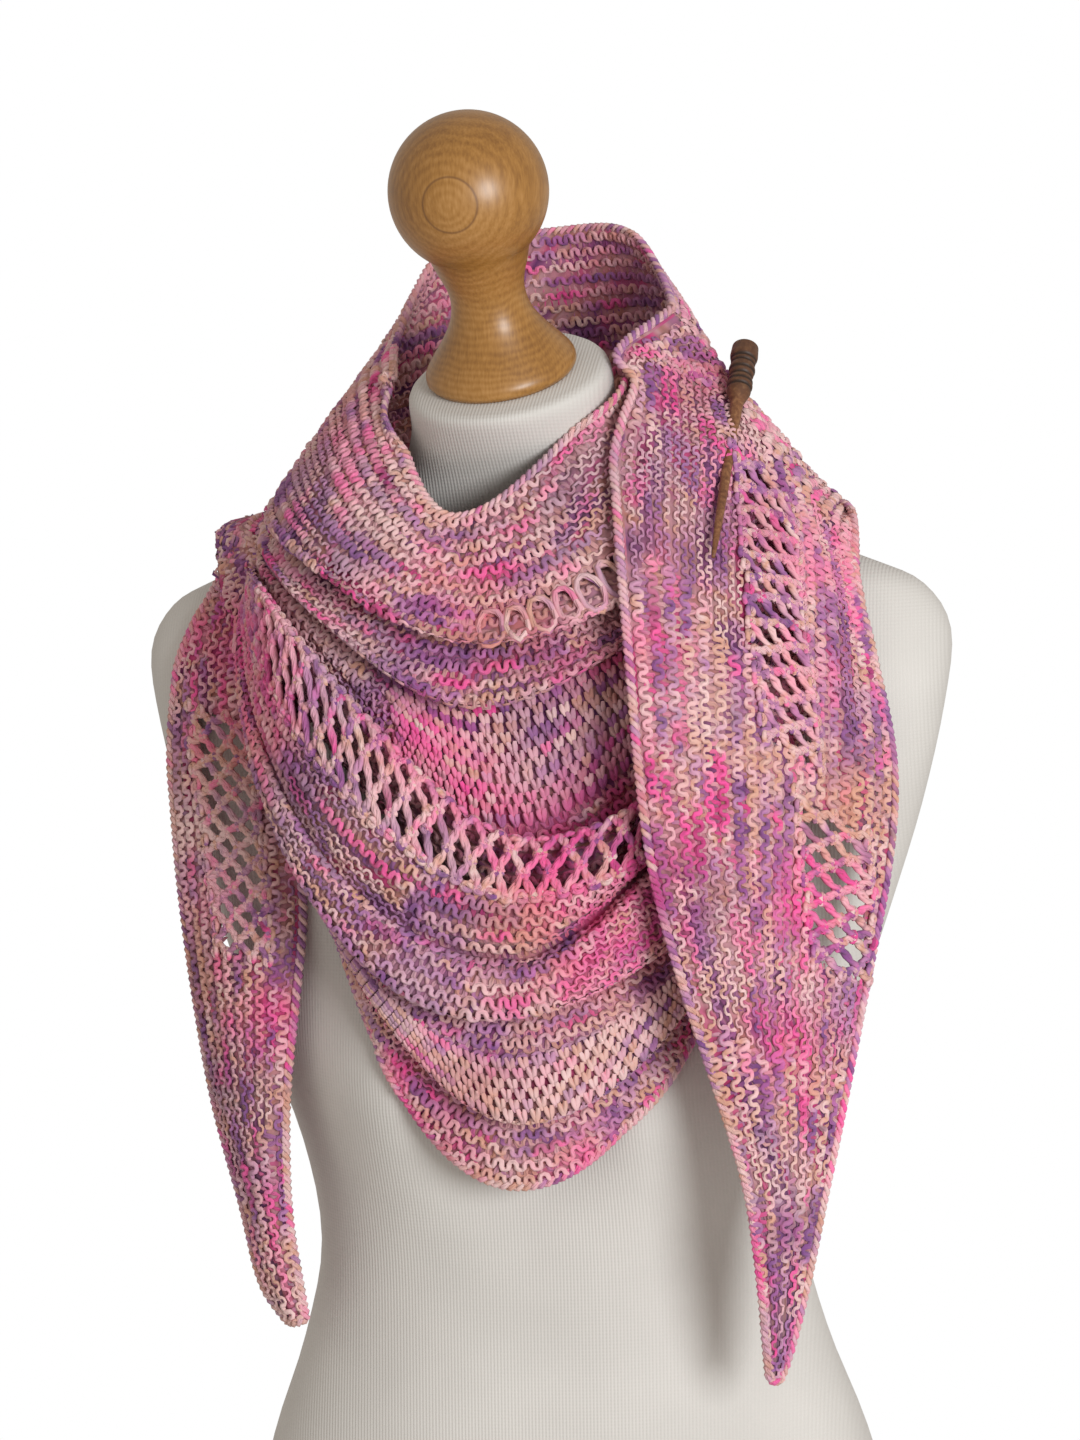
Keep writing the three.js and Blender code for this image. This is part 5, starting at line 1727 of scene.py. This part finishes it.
print("lace bands", len(FRONT_LACE + RIGHT_LACE + LEFT_LACE))

# %% [markdown]
# The holes near the neck edge are single and round, with a ring of yarn about each. The bands are
# made of bars instead: two strands twisted about each other, and a small knot where bars meet.
# Everything is a little uneven, as it is in cloth that has been worn.

# %% Rings and bars
LACE_PITCH = 12.0
EYELET_PITCH = 12.0
BAR = 1.35
KNOT = (2.3, 1.4)
RING_POINTS = 13
# Yarn in a ring, for each radian of it, and in a bar, and the step from one to the next, in metres.
RING_YARN = 0.004
BAR_YARN = 0.012
NEXT_YARN = 0.013
RING_ROWS = 200
# An eyelet is two rings: the upper is thicker and smaller, and the lower lies deeper.
UPPER_RING = 1.4
LOWER_RING = 1.25
LOWER_DEEP = 0.9
# Bars reach a little past the band; their knots are scattered by shares of their spacing.
REACH = 0.05
SCATTER = 0.09
LEVEL_SCATTER = 0.025
STRAND_APART = 2.2
STRAND_LIFT = 1.4
STRAND_ROUGH = 0.18


def ring(centre, normal, along, wide, tall, radius, number):
    """A closed loop of yarn round one hole, a little uneven."""
    across = np.cross(normal, along)
    angle = np.linspace(0, 2 * math.pi, RING_POINTS)
    wobble = 1 + 0.07 * rng.normal(size=RING_POINTS)
    wobble[-1] = wobble[0]
    offset = along * (np.cos(angle) * wobble * wide)[:, None]
    offset = offset + across * (np.sin(angle) * wobble * tall)[:, None]
    path = centre + offset - normal * (0.3 + 0.4 * np.cos(2 * angle))[:, None]
    place = angle * RING_YARN + number * NEXT_YARN
    return tube(path, np.tile(normal, (RING_POINTS, 1)), radius, place, RING_ROWS + number % 9, FULL_TUBE)


def eyelet_row(surface, row_start):
    """One row of round holes: rings of yarn side by side, whose sides make double bars."""
    parts = []
    middle = (EYELET_LINES[0] + EYELET_LINES[1]) / 2
    share = np.linspace(*EYELET_SHARE, 80)
    p, _, _ = sample(surface, middle, share)
    length = lengths(p)
    count = int(length[-1] / EYELET_PITCH)
    for n, place in enumerate(np.interp((np.arange(count) + 0.5) / count * length[-1], length, share)):
        centre, normal, along = sample(surface, middle, place)
        ends, _, _ = sample(surface, np.array(EYELET_LINES), place)
        tall = np.linalg.norm(ends[0] - ends[1]) / 2
        size = 1 - 0.15 * (n % 2)
        wide = EYELET_PITCH / 2
        parts.append(ring(centre, normal, along, (wide - 0.3) * size, tall * (0.75 + 0.25 * size),
                          UPPER_RING, row_start + n))
        parts.append(ring(centre - normal * LOWER_DEEP, normal, along, wide, tall * 1.05, LOWER_RING,
                          row_start + n + 3))
    return parts


def openwork(surface, band, row_start):
    """Leaning double bars between the courses of a lace band, in tiers that mirror each other."""
    parts = []
    tiers = band["tiers"]
    share = np.linspace(band["start"], band["end"], 80)
    p, _, _ = sample(surface, band_line(band, share, 0.5), share)
    length = lengths(p)
    count = int(length[-1] / LACE_PITCH) * 2
    knots = np.interp(np.linspace(0, length[-1], count + 1), length, share)
    spacing = (band["end"] - band["start"]) / count
    knots = knots + rng.normal(0, SCATTER * spacing, (tiers + 1, count + 1))
    level = np.linspace(-REACH, 1 + REACH, tiers + 1)[:, None]
    level = level + rng.normal(0, LEVEL_SCATTER, (tiers + 1, count + 1))
    t = np.linspace(0, 1, 6)
    for tier in range(tiers):
        for n in range(count):
            one, two = (tier, tier + 1) if (n + tier) % 2 == 0 else (tier + 1, tier)
            share = mix(knots[one, n], knots[two, n + 1], t)
            depth = mix(level[one, n], level[two, n + 1], t)
            p, normal, along = sample(surface, band_line(band, share, depth), share)
            for strand in (-0.5, 0.5):
                aside = np.cos(2 * math.pi * t) * strand * STRAND_APART
                lift = np.sin(2 * math.pi * t) * strand * STRAND_LIFT + 0.3
                path = p + along * aside[:, None] + normal * lift[:, None]
                path[1:-1] += rng.normal(0, STRAND_ROUGH, path[1:-1].shape)
                parts.append(tube(path, normal, BAR, t * BAR_YARN + n * NEXT_YARN,
                                  row_start + (n % 5) * 2 + tier, FULL_TUBE))
    for tier in range(tiers + 1):
        for n in range(count + 1):
            if (n + tier) % 2 == 0 or tier in (0, tiers):
                course = band_line(band, knots[tier, n], level[tier, n])
                centre, normal, along = sample(surface, course, knots[tier, n])
                parts.append(ring(centre + normal * 0.7, normal, along, *KNOT, BAR, row_start + n))
    return parts


print("a bar is", 2 * BAR, "mm thick and holes are", LACE_PITCH, "mm apart")

# %% [markdown]
# ## Chain edges
# The neck edge and the sides end in a chain of slipped stitches, and the lower edge in the bound
# off row: two yarns that wave against each other and stand a little proud.

# %% Edges
CHAIN_PITCH = 7.0
CHAIN_RADIUS = 1.3
CHAIN_SWING = 1.3
CHAIN_ARCH = 0.75
CHAIN_DEEP = 0.7
CHAIN_STEPS = 6


def chain(path, normal, row):
    """Two yarns that cross over and under each other along a path."""
    p, n, _, at = resample(path, normal, np.zeros((len(path), 0)), CHAIN_PITCH / CHAIN_STEPS)
    tangent = unit(np.gradient(p, axis=0))
    across = unit(np.cross(n, tangent))
    parts = []
    for side in (0, 1):
        phase = 2 * math.pi * at / CHAIN_PITCH + side * math.pi
        bent = p + across * (np.sin(phase) * CHAIN_SWING)[:, None]
        bent = bent + n * (CHAIN_ARCH * np.cos(phase) - CHAIN_DEEP)[:, None]
        parts.append(tube(bent, n, CHAIN_RADIUS, at * MM + side * 0.03, row + side * 3, FULL_TUBE))
    return parts


def edge_row(surface, line, row):
    p, n = surface.row(line)
    return chain(p, n, row)


def edge_column(surface, index, row):
    return chain(surface.points[:, index], surface.normals[:, index], row)


print("a chain link is", CHAIN_PITCH, "mm long")

# %% [markdown]
# ## Stockinette bands
# Plain knit fabric shows columns of V-shaped stitches. Two bands of it break the garter stitch.

# %% V stitches
V_WIDE = 6.2
V_TALL = 4.8
LEAST_V = 0.3 * V_TALL
# One leg of a V, from its head to its foot in heights of a stitch: how far apart the two legs
# start, how fast they close, their share of the width, and the yarn in a leg, in metres.
LEG = {"head": -0.72, "foot": 0.62, "apart": 0.95, "closing": 0.62, "wide": 0.28, "yarn": 0.003}
LEG_LIFT = (0.35, 0.75)
LEG_RADII = np.array([0.85, 1.35, 1.35, 0.85])
LEG_ROUGH = 0.07


def v_stitches(surface, first, last, covered, row_start):
    """Columns of V-shaped stitches between two courses, but where covered tells that none shows."""
    rows = surface.points[:, surface.columns // 2]
    length = lengths(rows)
    line = np.linspace(0, LAST_COURSE, surface.rows)
    low, high = np.interp([first, last], line, length)
    count = max(2, int(round((high - low) / V_TALL)))
    lines = np.interp(np.linspace(low, high, count + 1), length, line)
    parts = []
    for k in range(count):
        p, n = surface.row((lines[k] + lines[k + 1]) / 2)
        share = np.linspace(0, 1, surface.columns)
        q, _ = surface.row(lines[k])
        down = p - q
        p, n, extra, at = resample(p, n, np.concatenate([down, share[:, None]], 1), V_WIDE)
        down, share = extra[:, :3] * 2, extra[:, 3]
        tall = np.linalg.norm(down, axis=1)
        keep = (tall > LEAST_V) & ~covered(np.full(len(share), lines[k]), share, p)
        tangent = unit(np.gradient(p, axis=0))
        u = np.linspace(LEG["head"], LEG["foot"], len(LEG_RADII))[:, None]
        for side in (-1, 1):
            lean = side * (LEG["apart"] - (u - LEG["head"]) * LEG["closing"])
            for place in np.nonzero(keep)[0]:
                path = p[place] + tangent[place] * lean * V_WIDE * LEG["wide"] + down[place] * u
                path = path + n[place] * (LEG_LIFT[0] - LEG_LIFT[1] * u)
                path += rng.normal(0, LEG_ROUGH, path.shape)
                normal = np.tile(n[place], (len(u), 1))
                yarn_at = at[place] * MM + np.linspace(0, LEG["yarn"], len(u))
                parts.append(tube(path, normal, LEG_RADII, yarn_at, row_start + k))
    return parts


print("a V is", V_WIDE, "mm wide and", V_TALL, "mm tall")

# %% [markdown]
# ## Front of the shawl
# The front is hidden where the right tail lies on it, so no ridge is laid far under the tail: the
# photograph's frame is split into cells, and those inside the tail and off its lace are marked.

# %% Hidden by the tail
CELL = 8
CELLS = (PHOTO_WIDE // CELL + 1, PHOTO_TALL // CELL + 1)
OFF_LACE = 3
# Only right of these can the tail hide the front: a share of the way across, and pixels.
HIDES_FROM = {"share": 0.66, "x": 655}
front = surfaces["front_drape"]
tail = surfaces["right_tail"]


def cell_of(p):
    """Pixels across the photograph's frame at points, and the two numbers of their cells."""
    x, y = photo_place(p)
    i, k = (np.clip(v / CELL, 0, n - 1).astype(int) for v, n in zip((x, y), CELLS))
    return x, i, k


def shadow_of_tail():
    """Which cells of the photograph's frame lie inside the right tail, well off its lace."""
    mask = np.zeros(CELLS, bool)
    _, i, k = cell_of(tail.points)
    mask[i, k] = True
    for shift in (1, 2):
        mask &= np.roll(mask, shift, 0)
    line, share = grid(tail.rows, tail.columns)
    through_lace = in_bands(RIGHT_LACE)(line, share, tail.points)
    for u in range(-OFF_LACE, OFF_LACE + 1):
        for v in range(-OFF_LACE, OFF_LACE + 1):
            mask[i[through_lace] + u, k[through_lace] + v] = False
    return mask


under_tail = shadow_of_tail()


def beneath_tail(line, share, p):
    x, i, k = cell_of(p)
    return under_tail[i, k] & (share > HIDES_FROM["share"]) & (x > HIDES_FROM["x"])


print("cells hidden by the tail", int(under_tail.sum()))

# %% [markdown]
# The front is garter stitch with two bands of stockinette, one lace band and a row of eyelets. The
# cloth behind the lace turns its wrong side to the viewer, so it gets ridges there too. Each set
# of ridges starts from a row number of its own, so that the dye changes from one to the next.

# %% Front
STOCK_ONE = {"first": 6.15, "last": 7.3, "from": 0.36}
STOCK_TWO = {"first": 16.0, "last": 17.6, "from": 0.0}
FIRST_LINE = 0.03
LAST_LINE = LAST_COURSE - 0.1
# The front's ridges are two pieces, above and below this course, to keep each one small.
UPPER_TO = 9.1
# Courses behind the lace and behind the eyelets, which the viewer sees from their wrong side.
BEHIND_LACE = (7.6, 9.02)
BEHIND_EYELETS = (2.0, 3.1)
FRONT_CELLS = (170, 110)


def stocking(line, share, p):
    found = np.zeros(np.shape(line), bool)
    for band in (STOCK_ONE, STOCK_TWO):
        found |= (line > band["first"]) & (line < band["last"]) & (share > band["from"])
    return found


def not_stock_one(line, share, p):
    return beneath_tail(line, share, p) | (share < STOCK_ONE["from"])


def between(surface, first, last):
    """The lines for ridges between two courses, spaced at the middle of the surface."""
    lines = ridge_lines(surface, FIRST_LINE, LAST_LINE, surface.columns // 2)
    return [line for line in lines if first < line < last]


front_open = either(in_bands(FRONT_LACE), in_eyelets)
skip = either(front_open, beneath_tail, stocking)
upper, lower = between(front, 0, UPPER_TO), between(front, UPPER_TO, LAST_COURSE)
below = len(upper) // LINES_PER_RIDGE
front_ground = build("front_ground", [ground_part(front, *FRONT_CELLS, front_open)], ground)
front_pieces = [
    build("front_ridges_upper", ridges(front, upper, skip)),
    build("front_ridges_lower", ridges(front, lower, skip, row_start=below)),
    build("front_stockinette", v_stitches(front, STOCK_ONE["first"], STOCK_ONE["last"], not_stock_one, 90)
          + v_stitches(front, STOCK_TWO["first"], STOCK_TWO["last"], beneath_tail, 120)),
    # The legs, and the wrong side seen behind the lace, are drawn in painted shade.
    build("front_gaps", ridges(front, upper, skip, sunk=True)
          + ridges(front, lower, skip, row_start=below, sunk=True), painted_shade_sunk_yarn),
    build("front_inner_ridges", ridges(front, between(front, *BEHIND_LACE), front_open, True, 70)
          + ridges(front, between(front, *BEHIND_EYELETS), front_open, True, 80), painted_shade_sunk_yarn),
    build("front_lace", openwork(front, FRONT_LACE[0], 140) + openwork(front, FRONT_LACE[1], 147)
          + eyelet_row(front, 160)),
    build("front_edges", edge_row(front, 0, 170) + edge_row(front, LAST_COURSE, 180)),
]

# %% [markdown]
# ## Collar
# The same rows go on round the back of the neck. The collar stands away from the form, so its
# inner side is seen too, and its upper part gets ridges on both sides.

# %% Collar
COLLAR_CELLS = (80, 110)
collar = surfaces["collar_wrap"]
collar_lines = between(collar, 0, LAST_COURSE)
collar_ground = build("collar_ground", [ground_part(collar, *COLLAR_CELLS)], ground)


def low_inside(line, share, p):
    return line > COURSE_INDEX["bandTuck"]


collar_pieces = [
    build("collar_ridges", ridges(collar, collar_lines, row_start=20)),
    build("collar_inner_ridges", ridges(collar, collar_lines, low_inside, True, 60)),
    build("collar_gaps", ridges(collar, collar_lines, row_start=20, sunk=True)
          + ridges(collar, collar_lines, low_inside, True, 60, sunk=True), painted_shade_sunk_yarn),
    build("collar_edges", edge_row(collar, 0, 173) + edge_row(collar, LAST_COURSE, 183)),
]

# %% [markdown]
# ## Tails
# On the tails the rows run lengthwise. The lace slants across them and leaves the cloth open.

# %% Tails
TAIL_EDGE = 0.5
MID_TAIL = 0.4


def make_tail(side, surface, lace, cells, row, lace_rows, edge_rows, yarn_at):
    """A tail's ground, and the pieces that are knitted on it."""
    lines = ridge_lines(surface, TAIL_EDGE, LAST_COURSE - TAIL_EDGE, int(surface.columns * MID_TAIL))
    opened = in_bands(lace)
    tail_ground = build(side + "_ground", [ground_part(surface, *cells, opened)], ground)
    return tail_ground, [
        build(side + "_ridges", ridges(surface, lines, opened, row_start=row, along_start=yarn_at)),
        build(side + "_gaps", ridges(surface, lines, opened, row_start=row, sunk=True), painted_shade_sunk_yarn),
        build(side + "_lace", sum((openwork(surface, *band) for band in zip(lace, lace_rows)), [])),
        build(side + "_edges", edge_row(surface, 0, edge_rows[0])
              + edge_row(surface, LAST_COURSE, edge_rows[1])
              + edge_column(surface, surface.columns - 1, edge_rows[2])),
    ]


right_ground, right_pieces = make_tail(
    "right", tail, RIGHT_LACE, cells=(60, 190), row=30, lace_rows=(150, 154),
    edge_rows=(176, 186, 190), yarn_at=0.4,
)
left_ground, left_pieces = make_tail(
    "left", surfaces["left_tail"], LEFT_LACE, cells=(48, 150), row=50, lace_rows=(157,),
    edge_rows=(178, 188, 192), yarn_at=0.7,
)

# %% [markdown]
# ## Back
# The width that goes over the left shoulder comes round the back from the right one. It is seen
# from behind only, below the collar, so it gets plain ridges.

# %% Back
BACK_LINES = (6.0, LAST_COURSE - 0.4)
BACK_CELLS = (44, 70)
back = surfaces["back_wrap"]
back_lines = ridge_lines(back, *BACK_LINES, back.columns // 2)
back_ground = build("back_ground", [ground_part(back, *BACK_CELLS)], ground)
back_pieces = [
    build("back_ridges", ridges(back, back_lines, row_start=10, along_start=0.2)),
    build("back_edges", edge_row(back, LAST_COURSE, 189)),
]

# %% [markdown]
# ## Sheets
# Each stretch of cloth replaces its solid.

# %% Sheets
for name, grounds, pieces in (
    ("front_drape", front_ground, front_pieces),
    ("collar_wrap", collar_ground, collar_pieces),
    ("right_tail", right_ground, right_pieces),
    ("left_tail", left_ground, left_pieces),
    ("back_wrap", back_ground, back_pieces),
):
    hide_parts(name)

# %% [markdown]
# ## Close
# The number of new triangles is printed, and that of the largest piece.

# %% Close
print("new triangles", sum(triangles.values()), "largest", max(triangles.values()))
